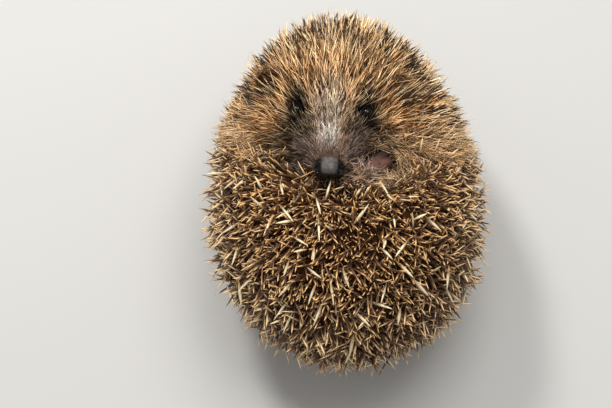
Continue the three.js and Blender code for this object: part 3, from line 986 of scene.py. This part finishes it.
faceShares, crownShares = onGrid(faceShare(skinFaces)), onGrid(crownShare(skinFaces))
eyeGaps = np.minimum(*(sizeOf(skinFaces - eyeMiddle[side]) for side in sides))
clearOfEyes = onGrid(smooth(eyeGaps, *rootPlan["eye"]))
noseGaps = sizeOf(skinFaces - noseMiddle)
clearOfNose = onGrid(smooth(noseGaps, *rootPlan["nose"]))
footGaps = sizeOf((skinFaces - footMiddle - rootPlan["footOval"][0]) / rootPlan["footOval"][1])
clearOfFoot = onGrid(smooth(footGaps, *rootPlan["foot"]))
softLevel = footLevel(skinFaces, *rootPlan["softOval"])
softHeight = smooth(skinFaces[:, 2], *rootPlan["softHeight"])
softZone = onGrid(smooth(softLevel, *rootPlan["softLevel"]) * softHeight)
spinyAreas = faceAreas * (1 - crownShares) * (1 - faceShares) * (1 - softZone)
parting = outOfHead(rootPlan["parting"])


# The part of a direction that lies along the skin.
def alongSkin(v, normals):
    return v - normals * np.sum(v * normals, -1, keepdims=True)


# Which way the coat is combed: along the skin, away from the parting before the nose, and on the flanks of
# the head more and more straight outwards.
def combed(p, normals):
    back, *flank = rootPlan["straighter"]
    shift = back * smooth(np.abs(intoHead(p)[:, 0]), *flank)
    return unit(alongSkin(p - parting - headY * shift[:, None], normals))


# Leans the normal towards the combing by an angle, with seeded scatter along the skin.
def leaning(p, normals, lean, spread, rng):
    lay = combed(p, normals)
    loose = alongSkin(rng.normal(0, 1, p.shape), normals)
    lean, spread = (np.reshape(value, (-1, 1)) for value in (lean, spread))
    return unit(normals * np.cos(lean) + lay * np.sin(lean) + loose * spread)


# Bends the ways of neighbouring hairs together, so that they stand in loose locks.
def inLocks(p, ways, wavelength, amount, seed):
    pull = np.stack([unevenness(p, wavelength, seed + k) for k in range(3)], -1)
    return unit(ways + pull * amount)


# Ways of a combed coat, whose lean changes with a share, drawn together in locks.
def combedOut(plan, p, normals, share, rng):
    lean = np.radians(between(plan["lean"], share) + rng.normal(0, plan["leanSpread"], len(p)))
    ways = leaning(p, normals, lean, plan["scatter"], rng)
    for lock in plan["locks"]:
        ways = inLocks(p, ways, *lock)
    return ways


# Lengthens or shortens shafts until their tips come out where wanted over the shape of the coat.
def lengthsTo(p, ways, over, start, least, most, gap=tipGap):
    lengths = np.full(len(p), float(start))
    for _ in range(5):
        lengths = np.clip(lengths - 0.8 * (gap(p + ways * lengths[:, None]) - over), least, most)
    return lengths


# Presses shafts flat where they would go through the floor.
def pressed(p, ways, lengths, lowest):
    under = p[:, 2] + ways[:, 2] * lengths < lowest
    drop = np.clip((lowest - p[:, 2]) / lengths, -0.98, 0.98)
    flat = unit(ways * (1, 1, 0) + 1e-6) * np.sqrt(1 - drop ** 2)[:, None]
    flat[:, 2] = drop
    return np.where(under[:, None], flat, ways)


def mixture(first, second, share):
    return between((linear(*first), linear(*second)), share[:, None])


# Dims a colour, without changing its hue, until no part of it is over the most that a pale horn gives back.
def capped(colours, most=0.95):
    return colours / np.maximum(colours.max(1, keepdims=True) / most, 1)


# What the coat keeps off. A shaft is measured at some shares of its length.
clearances = {
    "shares": (0.35, 0.6, 0.8, 1.0), "snout": 0.6, "nose": 7.5,
    "footShares": (0.3, 0.5, 0.7, 0.85, 1.0), "footMiddle": (0, 0.5), "foot": (7.2, 5.6),
    "eyeShares": (0.2, 0.4, 0.6, 0.8, 1.0), "eyeMiddle": (0.9, -0.3, 1.5), "eyeScale": (1, 1, 0.35),
    "eye": 3.3,
}


def headGap(p):
    return skullGap(intoHead(p))


# Tells which shafts keep off the nose and the snout by a margin, and off the head too where it is given one.
def offSnout(p, ways, lengths, margin=clearances["snout"], headMargin=None):
    places = [p + ways * (lengths * t)[:, None] for t in clearances["shares"]]
    clear = np.min([muzzleGap(intoHead(q)) for q in places], 0) > margin
    clear &= np.min([sizeOf(q - noseMiddle) for q in places], 0) > clearances["nose"]
    return clear if headMargin is None else clear & (np.min([headGap(q) for q in places], 0) > headMargin)


def offEyes(p, ways, lengths):
    places = [mirrored(intoHead(p + ways * (lengths * t)[:, None])) for t in clearances["eyeShares"]]
    beside = [(h - eyePlace - clearances["eyeMiddle"]) * clearances["eyeScale"] for h in places]
    return np.min(sizeOf(np.array(beside)), 0) > clearances["eye"]


def offFoot(p, ways, lengths, radii=clearances["foot"]):
    places = [p + ways * (lengths * t)[:, None] for t in clearances["footShares"]]
    return np.min([footLevel(q, clearances["footMiddle"], radii) for q in places], 0) > 1


# Quills of rump, flanks and back: dark shafts with tan tips, set at every angle. Of the pairs that are
# shared out by how far a quill faces outwards, the first is for the top of the ball and the second for its
# sides. The other pairs are ranges.
rumpQuills = {
    "perSquareMillimetre": 1, "density": (0.56, 0.3), "sides": (0.95, 0.25),  # how upright the skin is there
    "lean": (14, 8), "leanSpread": 7, "scatter": (0.48, 0.85), "crossing": 0.2, "crossingMore": (1.9, 1.4),
    "upright": (0.2, 0.8), "lock": (12, 0.2, 5),
    "over": (-0.8, -1.3), "overSpread": (2.4, 3.8), "overMost": (-2, 1.7), "start": 10, "least": (5, 4),
    "most": (15, 22), "besideHead": (11, 4), "besideShorter": 8,
    "radius": 0.45, "thickness": (0.7, 1.2), "bands": (0.84, 1.0), "bend": 0.3, "bendUpUnder": 14,
    "tan": (240, 182, 108), "cream": (255, 222, 172), "dark": (92, 62, 44), "creamBy": (0.55, 0.6, -0.05),
    # light holds painted light and shade: a base, brighter low down, on the flanks and under the nose, darker
    # beside the head
    "light": {"all": 1.17, "low": 0.2, "sides": 0.3, "besideHead": 0.5, "underNose": 1.0},
    "low": (62, 25), "behindNose": (-2, 5), "underNose": (30, 14),
    "dimShare": (0.2, 0.3), "dim": (0.1, 0.4), "lit": (1.0, 2.6), "tones": (0.5, 0.9),
    "band": (0.1, 0.76), "roughness": 0.32, "margin": 2.5, "footRadii": (14, 9), "overFold": (1, 10),
    "shape": ((0.05, 0.45, 0.76, 0.91), (0.6, 1, 0.84, 0.46), 4),
}
floorTips = (leastHeight, 2.2)  # heights of the tips that are pressed flat


def makeRumpQuills():
    q = rumpQuills
    weight = spinyAreas * between(q["density"], smooth(skinNormals[:-1, :-1, 2], *q["sides"]))
    count, p, normals, maps, rng = scatter(q, weight, 11)
    outwards = smooth(normals[:, 2], *q["sides"])  # nought on top of the ball, one towards its sides
    lean = np.radians(between(q["lean"], outwards) + rng.normal(0, q["leanSpread"], count))
    across = np.where(rng.random(count) < q["crossing"], between(q["crossingMore"], outwards), 1.0)
    upright = unit(normals * q["upright"][0] + slopeOf(eggGap, p) * q["upright"][1])
    ways = leaning(p, upright, lean, between(q["scatter"], outwards) * across, rng)
    ways = inLocks(p, ways, *q["lock"])
    besideHead = smooth(headGap(p), *q["besideHead"])
    most = between(q["most"], outwards) - q["besideShorter"] * besideHead
    over = np.clip(rng.normal(0, 1, count), *q["overMost"]) * between(q["overSpread"], outwards)
    over = between(q["over"], outwards) + over
    lengths = lengthsTo(p, ways, over, q["start"], q["least"][0], most, quillGap)
    ways = pressed(p - normals, ways, lengths, rng.uniform(*floorTips, count))
    lengths = np.minimum(lengths, lengthsTo(p, ways, over, q["start"], q["least"][1], most, quillGap))
    tone = rng.random(count)
    byTone, bySide, base = q["creamBy"]
    cream = np.clip(tone * byTone + outwards * bySide + base, 0, 1)
    bends = rng.normal(0, q["bend"], (count, 3))
    bends[:, 2] = np.where(p[:, 2] < q["bendUpUnder"], np.abs(bends[:, 2]), bends[:, 2])
    behind = smooth(noseMiddle[1] - p[:, 1], *q["behindNose"])
    # Painted light and shade: quills are brighter low down, on the flanks and under the nose, and darker
    # beside the head.
    k = q["light"]
    light = k["all"] + k["low"] * smooth(p[:, 2], *q["low"]) + k["sides"] * outwards
    light = light - k["besideHead"] * besideHead * (1 - behind)
    light = light + k["underNose"] * behind * smooth(sizeOf(p - noseMiddle), *q["underNose"])
    dim = rng.random(count) < between(q["dimShare"], outwards)
    shade = np.where(dim, rng.uniform(*q["dim"], count), rng.uniform(*q["lit"], count)) * light
    tips = p + ways * lengths[:, None]
    aheadOfFold, nearHead = q["overFold"]
    overFold = (aboveFold(tips) > aheadOfFold) & (headGap(tips) < nearHead)
    keep = offSnout(p, ways, lengths, q["margin"], q["margin"]) & offFoot(p, ways, lengths, q["footRadii"])
    material = quillMaterial("quillsRump", q["dark"], q["band"], q["roughness"])
    shaftPiece("quillsRump", "quills", material, q["shape"], coatOf(
        keep & ~overFold, roots=p - normals, ways=ways, lengths=lengths, bends=bends, maps=maps,
        tones=tone * between(q["tones"], outwards), radii=q["radius"] * rng.uniform(*q["thickness"], count),
        bands=rng.uniform(*q["bands"], count),
        tints=capped(mixture(q["tan"], q["cream"], cream) * shade[:, None])))


# All-cream quills that lie loosely across the others, most of them near the fold.
brightQuills = {
    "count": 82, "colour": (244, 226, 184), "radius": 0.64, "thickness": (0.75, 1.2), "length": (6.5, 13),
    "lean": (55, 95), "scatter": 0.8, "bend": 0.35, "bands": (0, 0.5), "band": (0.05, 0.3), "roughness": 0.36,
    "least": 0.08, "height": (40, 85), "offFloor": (14, 20), "offNose": (9, 12), "sunk": 2.0, "under": 0.8,
    "lowest": 1.5, "shape": ((0.03, 0.2, 0.45, 0.72, 0.9), (0.3, 0.8, 1, 0.7, 0.3), 6),
    # each from the foot's middle to its own in the plan, then its heading there and its length
    "nearFoot": ((-10, -14.3, 53, 6), (-7, -13, 59, 6), (-0.6, -13.6, -63, 10), (-20.3, -12.6, 69, 9.5),
                 (-25.2, -19.4, -79, 8), (-37.4, -10.6, -77, 6.5), (-35.8, -20.6, -53, 10)),
    "nearBand": 0.1, "nearRadius": 0.544, "nearRise": 0.12, "nearSunk": 0.2, "topOver": 50,
}


# The pale quills that stand out under the nose and the foot. Each lies along the ball at the level of the
# tips, over the face of the skin nearest to its place, among those that are high enough.
def quillsNearFoot():
    q = brightQuills
    spots = np.array(q["nearFoot"], float)
    gaps = sizeOf(skinFaces[None, :, :2] - (footMiddle[:2] + spots[:, :2])[:, None])
    nearest = np.where(skinFaces[None, :, 2] < q["topOver"], np.inf, gaps).argmin(1)
    ring, seam = nearest // skinPlan["seams"], nearest % skinPlan["seams"]
    p, heading, lengths = skinFaces[nearest], np.radians(spots[:, 2]), spots[:, 3]
    normals = slopeOf(eggGap, p)
    flat = np.stack([np.cos(heading), np.sin(heading), np.zeros(len(spots))], -1)
    ways = unit(alongSkin(flat, normals) + q["nearRise"] * normals)
    middles = p + normals * np.maximum(-quillGap(p) - q["nearSunk"], 1)[:, None]
    return coatOf(
        roots=middles - ways * (lengths / 2)[:, None], ways=ways, lengths=lengths, radii=q["nearRadius"],
        bends=np.zeros((1, 3)), tones=0.5, bands=q["nearBand"], tints=linear(*q["colour"])[None],
        maps=np.stack([(seam + 0.5) / skinPlan["seams"], (ring + 0.5) / skinPlan["rings"]], -1))


def makeBrightQuills():
    q = brightQuills
    height = skinFaces[:, 2]
    weight = spinyAreas * onGrid(q["least"] + smooth(height, *q["height"]) ** 2)
    weight = weight * onGrid(smooth(height, *q["offFloor"])) * onGrid(smooth(noseGaps, *q["offNose"]))
    count, p, normals, maps, rng = scatter(q, weight, 79)
    ways = leaning(p, normals, np.radians(rng.uniform(*q["lean"], count)), q["scatter"], rng)
    lengths = rng.uniform(*q["length"], count)
    under = np.maximum(np.sum(ways * normals, -1) * lengths * q["under"], 0)
    roots = p + np.maximum(-tipGap(p) - q["sunk"] - under, 1)[:, None] * normals
    ways = pressed(roots, ways, lengths, q["lowest"])
    keep = offSnout(roots, ways, lengths) & offFoot(roots, ways, lengths)
    scattered = coatOf(
        keep, roots=roots, ways=ways, lengths=lengths, bends=rng.normal(0, q["bend"], (count, 3)),
        tones=rng.random(count), maps=maps, radii=q["radius"] * rng.uniform(*q["thickness"], count),
        bands=rng.uniform(*q["bands"], count), tints=linear(*q["colour"])[None])
    material = quillMaterial("quillsBright", rumpQuills["tan"], q["band"], q["roughness"])
    shaftPiece("quillsBright", "quills", material, q["shape"], scattered, quillsNearFoot())


# Bristles of crown and shoulders: long, thin and blond, combed out from the face. Of the pairs that are
# shared out by the distance from the head, the first is for beside it and the second for the ball's edge.
crownBristles = {
    "perSquareMillimetre": 1.1, "radius": (0.2, 0.4), "thickness": (0.7, 1.25), "edge": (24, 60),
    "lean": (66, 42), "leanSpread": 8, "scatter": 0.2, "locks": ((4.0, 0.16, 31), (9, 0.14, 35)),
    "over": -0.6, "overSpread": 2.8, "overMost": (-2, 1.2), "start": 12, "least": 6, "most": (10, 22),
    "gold": (216, 160, 95), "pale": (255, 231, 188), "dark": (48, 28, 12), "paleBy": (1.1, 0.55, -0.3),
    "darkShare": 0.54, "darkClumps": (0.28, 6, 45), "darkUnder": (1.8, 4.3),
    "dim": (0.02, 0.12), "lit": (0.6, 1.6), "warm": (1.4, 0.95, 0.55),  # the dark ones are a warmer brown
    "tone": (0.25, 0.5), "toneClumps": (0.18, 7, 41), "banded": (-0.65, 1.3, 1.0),
    "bandClumps": (0.7, 11, 47), "band": (0.4, 0.84), "roughness": 0.45, "bend": (0.8, 0.9),
    "bendSpread": 0.5, "margin": 2.0, "footRadii": (13, 8.5),
    "shape": ((0.05, 0.55, 0.86), (0.7, 1, 0.52), 3),
}


# Uneven values of a given strength.
def clumps(p, strength, wavelength, seed):
    return strength * unevenness(p, wavelength, seed)


def makeCrownBristles():
    b = crownBristles
    weight = faceAreas * crownShares * (1 - faceShares) * (1 - softZone)
    count, p, normals, maps, rng = scatter(b, weight, 23)
    edge = smooth(sizeOf(p - headOrigin), *b["edge"])
    ways = combedOut(b, p, normals, edge, rng)
    dark = rng.random(count) < b["darkShare"] + clumps(p, *b["darkClumps"])
    over = b["over"] + np.clip(rng.normal(0, 1, count), *b["overMost"]) * b["overSpread"]
    over = over - between(b["darkUnder"], edge) * dark
    lengths = lengthsTo(p, ways, over, b["start"], b["least"], between(b["most"], edge))
    ways = pressed(p - normals, ways, lengths, rng.uniform(*floorTips, count))
    base, spread = b["tone"]
    tone = np.clip(rng.random(count) * spread + base + clumps(p, *b["toneClumps"]), 0, 1)
    shade = np.where(dark, rng.uniform(*b["dim"], count), rng.uniform(*b["lit"], count))[:, None]
    shade = shade * np.where(dark[:, None], b["warm"], (1, 1, 1))
    base, spread, byEdge = b["banded"]
    banded = np.clip(base + spread * rng.random(count) + clumps(p, *b["bandClumps"]) + byEdge * edge, 0, 1)
    spread, byEdge, base = b["paleBy"]
    pale = np.clip(rng.random(count) * spread + base + edge * byEdge, 0, 1) * ~dark
    bends = combed(p, normals) * rng.normal(*b["bend"], (count, 1))
    bends = bends + rng.normal(0, b["bendSpread"], (count, 3))
    keep = offSnout(p, ways, lengths, b["margin"]) & offEyes(p, ways, lengths)
    material = quillMaterial("bristlesCrown", b["dark"], b["band"], b["roughness"])
    shaftPiece("bristlesCrown", "quills", material, b["shape"], coatOf(
        keep & offFoot(p, ways, lengths, b["footRadii"]), roots=p - normals, ways=ways, lengths=lengths,
        bends=bends, tones=tone, maps=maps, bands=banded, tints=mixture(b["gold"], b["pale"], pale) * shade,
        radii=between(b["radius"], edge) * rng.uniform(*b["thickness"], count)))


shortShape = ((0.0, 0.5), (1.0, 0.8), 3)


# Puts soft hairs into a piece of their own.
def furPiece(name, plan, *coats):
    shaftPiece(name, "fur", hairMaterial(name, plan["shades"]), plan["shape"], *coats)


# Fur of the face. Of the pairs that are shared out by how far back a hair stands, the first is for the snout
# and the second for the crown.
faceFur = {
    "perSquareMillimetre": 4.8, "density": (1.25, 0.32), "length": (3.0, 14.0), "lengthSpread": (0.6, 1.35),
    "radius": (0.08, 0.26), "thickness": (0.65, 1.3), "lean": (60, 66), "leanSpread": 9, "scatter": 0.2,
    "locks": ((1.8, 0.1, 51), (5.0, 0.16, 55)), "droop": 0.1, "bend": 0.05, "depth": 0.3,
    "dimShare": 0.3, "dimBack": 0.16, "dimClumps": (0.14, 4, 61), "dim": (-0.2, 0.05),
    "lit": (0.2, 0.85, 0.15), "toneClumps": ((0.12, 2.2, 62), (0.08, 6, 63)), "pale": (230, 200, 154),
    "paleBy": (0.9, 0.6, -0.5), "snoutTip": 30, "narrowing": 0.9, "back": (6, 46),
    "palest": 0.75, "paleBack": 1.4, "warm": (1.15, 0.95, 0.65), "ownColourAt": 0.3, "colourSpread": 0.9,
    "shades": (0.1, 1.75), "shape": shortShape,
}


# How far back a place lies, from 0 at the tip of the snout to 1 on the crown.
def backShare(p):
    h = intoHead(p)
    return smooth(np.hypot(h[:, 1] + faceFur["snoutTip"], h[:, 0] * faceFur["narrowing"]), *faceFur["back"])


def makeFaceFur():
    f = faceFur
    weight = faceAreas * faceShares * clearOfEyes * clearOfNose * clearOfFoot
    weight = weight * between(f["density"], onGrid(backShare(skinFaces)))
    count, p, normals, maps, rng = scatter(f, weight, 37)
    back = backShare(p)
    ways = combedOut(f, p, normals, back, rng)
    lengths = between(f["length"], back) * rng.uniform(*f["lengthSpread"], count)
    radii = between(f["radius"], back) * rng.uniform(*f["thickness"], count)
    dim = rng.random(count) < f["dimShare"] + back * (f["dimBack"] + clumps(p, *f["dimClumps"]))
    least, most, more = f["lit"]
    tone = np.where(dim, rng.uniform(*f["dim"], count), rng.uniform(least, most + more * back, count))
    tone = np.clip(tone + sum(clumps(p, *k) for k in f["toneClumps"]), 0, 1)
    bends = -normals * (lengths * f["droop"])[:, None]
    bends = bends + rng.normal(0, f["bend"], (count, 3)) * lengths[:, None]
    spread, byTone, base = f["paleBy"]
    bleached = np.clip(rng.random(count) * spread + base + byTone * tone, 0, f["palest"])
    bleached = bleached * np.minimum(back * f["paleBack"], 1)
    spots = p + ways * (lengths * f["ownColourAt"])[:, None] + rng.normal(0, f["colourSpread"], (count, 3))
    tints = between((markings(spots), linear(*f["pale"])), bleached[:, None])
    furPiece("furFace", f, coatOf(
        offEyes(p, ways, lengths) & offFoot(p, ways, lengths), roots=p - normals * f["depth"], ways=ways,
        lengths=lengths, radii=radii, bends=bends, tones=tone, maps=maps,
        tints=np.where(dim[:, None], f["warm"], (1, 1, 1)) * tints))


softGold, softPale = (186, 140, 90), (242, 210, 166)

# Hair of the ears, sparse inside the cup, where painted shade dims it.
earHair = {
    "perSquareMillimetre": 3.0, "length": (3, 6.5), "lean": 1.05, "scatter": 0.35, "radius": (0.07, 0.15),
    "lock": (3, 0.15, 93), "inside": 0.62, "insideShare": 0.12, "insideShade": 0.5, "shade": (0.4, 1.1),
    "droop": 0.15, "shades": (0.3, 1.4), "shape": shortShape,
}


def makeEarHair():
    e = earHair
    coats = []
    for side in sides:
        grid = earGrid(side)
        areas = faceArea(grid)
        along = np.arange(len(areas))[:, None] / len(areas)
        weight = areas * np.where(along < e["inside"], 1.0, e["insideShare"])
        count, p, normals, maps, rng = scatter(e, weight, 90 + side, grid, gridNormals(grid))
        ways = inLocks(p, leaning(p, normals, e["lean"], e["scatter"], rng), *e["lock"])
        lengths = rng.uniform(*e["length"], count)
        # Painted shade: hairs inside the cup are dimmed by insideShade.
        shade = np.where(maps[:, 1] > e["inside"], e["insideShade"], rng.uniform(*e["shade"], count))
        coats.append(coatOf(
            roots=p, ways=ways, lengths=lengths, radii=rng.uniform(*e["radius"], count),
            bends=-normals * (lengths * e["droop"])[:, None], tones=rng.random(count),
            maps=maps * (0.5, 1) + (0.25 * (1 - side), 0), tints=linear(*softGold) * shade[:, None]))
    furPiece("furEars", e, *coats)


# Soft hair along the skirt over the fold.
skirtHair = {
    "perSquareMillimetre": 1.5, "foldFrom": (-1, 3), "foldTo": (17, 8), "height": (50, 62),
    "normal": 0.7, "outwards": 0.6, "down": (0, -0.35, 0), "scatter": 0.32, "lock": (4, 0.25, 103),
    "start": 9, "least": 6, "most": 14, "over": (0.3, 1.2), "radius": 0.12, "thickness": (0.7, 1.3),
    "bend": 1.4, "shades": (0.3, 1.35), "shape": ((0.0, 0.3, 0.6, 0.85), (1.0, 0.9, 0.75, 0.5), 3),
}


def makeSkirtHair():
    s = skirtHair
    above = aboveFold(skinFaces)
    nearFold = smooth(above, *s["foldFrom"]) * smooth(above, *s["foldTo"])
    nearFold = nearFold * smooth(skinFaces[:, 2], *s["height"])
    weight = faceAreas * onGrid(nearFold) * (1 - faceShares) * clearOfFoot
    count, p, normals, maps, rng = scatter(s, weight, 101)
    outwards = unit((p - parting) * (1, 0.35, 0.2))
    ways = normals * s["normal"] + outwards * s["outwards"] + s["down"]
    ways = inLocks(p, unit(ways + rng.normal(0, s["scatter"], (count, 3))), *s["lock"])
    lengths = lengthsTo(p, ways, rng.normal(*s["over"], count), s["start"], s["least"], s["most"])
    pale = rng.random(count)
    furPiece("furSkirt", s, coatOf(
        offSnout(p, ways, lengths) & offFoot(p, ways, lengths), roots=p, ways=ways, lengths=lengths,
        radii=s["radius"] * rng.uniform(*s["thickness"], count), bends=rng.normal(0, s["bend"], (count, 3)),
        tones=rng.random(count), maps=maps, tints=mixture(softGold, softPale, pale)))


# Fine soft hair that curls every way round the hollow of the foot, pale beside it and flesh-coloured on the
# leg.
footHair = {
    "perSquareMillimetre": 4.5, "level": (1.3, 0.95), "ring": ((0.5, 1, 0), (8.5, 6.5, 60)),
    "ringLevel": (0.9, 1.1), "offSnout": (1.5, 3.5), "normal": 0.6, "inwards": (0, 0.4), "around": (0.3, 0.6),
    "scatter": 0.25, "lock": (3, 0.4, 113), "length": (4.5, 10), "radius": (0.07, 0.13), "curl": (-2, 2),
    "bend": 1.9, "droop": 1.2, "pale": (1.3, -0.1), "flesh": (198, 168, 150), "leg": (12, 8, 20),
    "legLevel": (1.15, 0.75), "darkShare": 0.35, "hollow": ((1.4, 1.4), (4.7, 3.8)), "shades": (0.2, 1.5),
    "shape": ((0.0, 0.25, 0.5, 0.75, 0.9), (1.0, 0.95, 0.85, 0.65, 0.4), 3),
}


def makeFootHair():
    f = footHair
    middle, radii = f["ring"]
    shares = smooth(softLevel, *f["level"]) * softHeight
    shares = shares * smooth(sizeOf((skinFaces - footMiddle - middle) / radii), *f["ringLevel"])
    shares = shares * smooth(muzzleGap(intoHead(skinFaces)), *f["offSnout"])
    count, p, normals, maps, rng = scatter(f, faceAreas * onGrid(shares), 111)
    inwards = unit((footMiddle - p) * (1, 1, 0))
    ways = normals * f["normal"] + inwards * rng.normal(*f["inwards"], (count, 1))
    ways = ways + np.cross((0, 0, 1.0), inwards) * rng.normal(*f["around"], (count, 1))
    ways = inLocks(p, unit(ways + rng.normal(0, f["scatter"], (count, 3))), *f["lock"])
    lengths = rng.uniform(*f["length"], count)
    bends = inwards * rng.uniform(*f["curl"], (count, 1)) + rng.normal(0, f["bend"], (count, 3))
    bends = bends - normals * f["droop"]
    spread, base = f["pale"]
    pale = np.clip(rng.random(count) * spread + base, 0, 1)
    onLeg = smooth(sizeOf((p - legMiddle) / f["leg"]), *f["legLevel"])[:, None]
    bent = [p + ways * (lengths * t)[:, None] + bends * t ** 2 for t in (0.6, 1)]
    offHollow = np.min([footLevel(q, *f["hollow"]) for q in bent], 0) > 1
    furPiece("furFoot", f, coatOf(
        offHollow & offSnout(p, ways, lengths), roots=p, ways=ways, lengths=lengths,
        radii=rng.uniform(*f["radius"], count), bends=bends, maps=maps,
        tones=np.where(rng.random(count) < f["darkShare"], 0, rng.random(count)),
        tints=between((mixture(softGold, softPale, pale), linear(*f["flesh"])), onLeg)))


# Short down on the foot itself, lying towards the toes and longest at the heel.
pawHair = {
    "perSquareMillimetre": 5.0, "length": (0.8, 2.4), "lengthSpread": (0.6, 1.3), "heel": (4.0, -4.5),
    "normal": 0.45, "toes": 0.9, "scatter": 0.25, "radius": (0.05, 0.08), "tones": (0.15, 0.55),
    "droop": 0.25, "bright": 1.8, "shades": (0.5, 1.2), "shape": shortShape,
}


def makePawHair():
    w = pawHair
    count, p, normals, maps, rng = scatter(w, faceArea(footGrid), 131, footGrid, gridNormals(footGrid))
    toes = footAxes()[0]
    ways = unit(normals * w["normal"] + toes * w["toes"] + rng.normal(0, w["scatter"], (count, 3)))
    lengths = between(w["length"], smooth((p - footCentre) @ toes, *w["heel"]))
    lengths = lengths * rng.uniform(*w["lengthSpread"], count)
    # The down takes the foot's tint with its painted shade, brightened.
    furPiece("furPaw", w, coatOf(
        roots=p, ways=ways, lengths=lengths, radii=rng.uniform(*w["radius"], count),
        bends=-normals * (lengths * w["droop"])[:, None], tones=rng.uniform(*w["tones"], count),
        maps=maps, tints=footTintAndShade(p) * w["bright"]))


# Whiskers in loose rows on both sides of the snout.
whiskers = {
    "count": 22, "spot": (9.5, -22), "spotRadii": (3.5, 4.5), "spotLevel": (1.1, 0.7), "length": (9, 16),
    "normal": 0.55, "combed": 0.8, "scatter": 0.15, "radius": 0.04, "depth": 0.3, "droop": 2.0, "bend": 0.5,
    "colour": (66, 56, 50), "shades": (0.5, 1.2), "shape": ((0.0, 0.3, 0.6, 0.85), (1.0, 0.8, 0.55, 0.3), 4),
}


def makeWhiskers():
    w = whiskers
    h = mirrored(intoHead(skinFaces))
    spot = smooth(np.hypot(*((h[:, :2] - w["spot"]) / w["spotRadii"]).T), *w["spotLevel"])
    weight = faceAreas * faceShares * clearOfNose * clearOfFoot * onGrid(spot)
    count, p, normals, maps, rng = scatter(w, weight, 121)
    ways = normals * w["normal"] + combed(p, normals) * w["combed"]
    furPiece("whiskers", w, coatOf(
        roots=p - normals * w["depth"], ways=unit(ways + rng.normal(0, w["scatter"], (count, 3))),
        lengths=rng.uniform(*w["length"], count), radii=w["radius"],
        bends=-normals * w["droop"] + rng.normal(0, w["bend"], (count, 3)), tones=rng.random(count),
        maps=maps, tints=linear(*w["colour"])[None]))


for make in (makeRumpQuills, makeBrightQuills, makeCrownBristles, makeFaceFur, makeEarHair, makeSkirtHair,
             makeFootHair, makePawHair, makeWhiskers):
    make()
print("coat made")

stagePlan = {
    "floor": (196, 194, 190), "floorWidth": 6, "floorRoughness": 0.9, "world": 0.46, "lampsAim": (0, 0, 0.05),
    # each lamp's place, width and power
    "lamps": {"top": ((0.15, 0.25, 0.9), 0.5, 5.0), "key": ((-0.28, 0.45, 0.75), 0.16, 5.0)},
}


def makeStage():
    bpy.ops.mesh.primitive_plane_add(size=stagePlan["floorWidth"])
    floor = bpy.context.object
    floor.name = "floor"
    material, _ = newMaterial("paleFloor")
    colour = (*linear(*stagePlan["floor"]), 1)
    floor.data.materials.append(setShader(material, Base_Color=colour, Roughness=stagePlan["floorRoughness"]))
    world = bpy.data.worlds.new("studio")
    world.use_nodes = True
    setInputs(world.node_tree.nodes["Background"], {"Color": (1, 1, 1, 1), "Strength": stagePlan["world"]})
    bpy.context.scene.world = world
    for name, (place, width, power) in stagePlan["lamps"].items():
        lamp = bpy.data.lights.new(name, "AREA")
        lamp.size, lamp.energy = width, power
        towards = Vector(stagePlan["lampsAim"]) - Vector(place)
        stand(name, lamp, place, towards.to_track_quat("-Z", "Y"))


# Stands a lamp or a camera in the scene.
def stand(name, data, place, turn):
    holder = bpy.data.objects.new(name, data)
    bpy.context.scene.collection.objects.link(holder)
    holder.location = place
    holder.rotation_euler = turn.to_euler()
    return holder


cameraPlan = {
    "azimuth": -3.7, "elevation": 72, "distance": 0.8, "lens": 110.7, "sensor": 36,
    "aim": (0.0015, -0.0015, 0.05), "aside": -0.01785, "above": -0.005525,
}


def makeCamera():
    c = cameraPlan
    a, e = math.radians(c["azimuth"]), math.radians(c["elevation"])
    right = Vector((math.cos(a), math.sin(a), 0))
    back = Vector((math.sin(a) * math.cos(e), -math.cos(a) * math.cos(e), math.sin(e)))
    lens = bpy.data.cameras.new("camera")
    lens.lens, lens.sensor_width = c["lens"], c["sensor"]
    aim = Vector(c["aim"]) + right * c["aside"] + back.cross(right) * c["above"]
    place = aim + back * c["distance"]
    bpy.context.scene.camera = stand("camera", lens, place, back.to_track_quat("Z", "Y"))


makeStage()
makeCamera()
bpy.context.scene.view_settings.view_transform = "Standard"
bpy.context.view_layer.update()
print("stage, camera and sizes made")
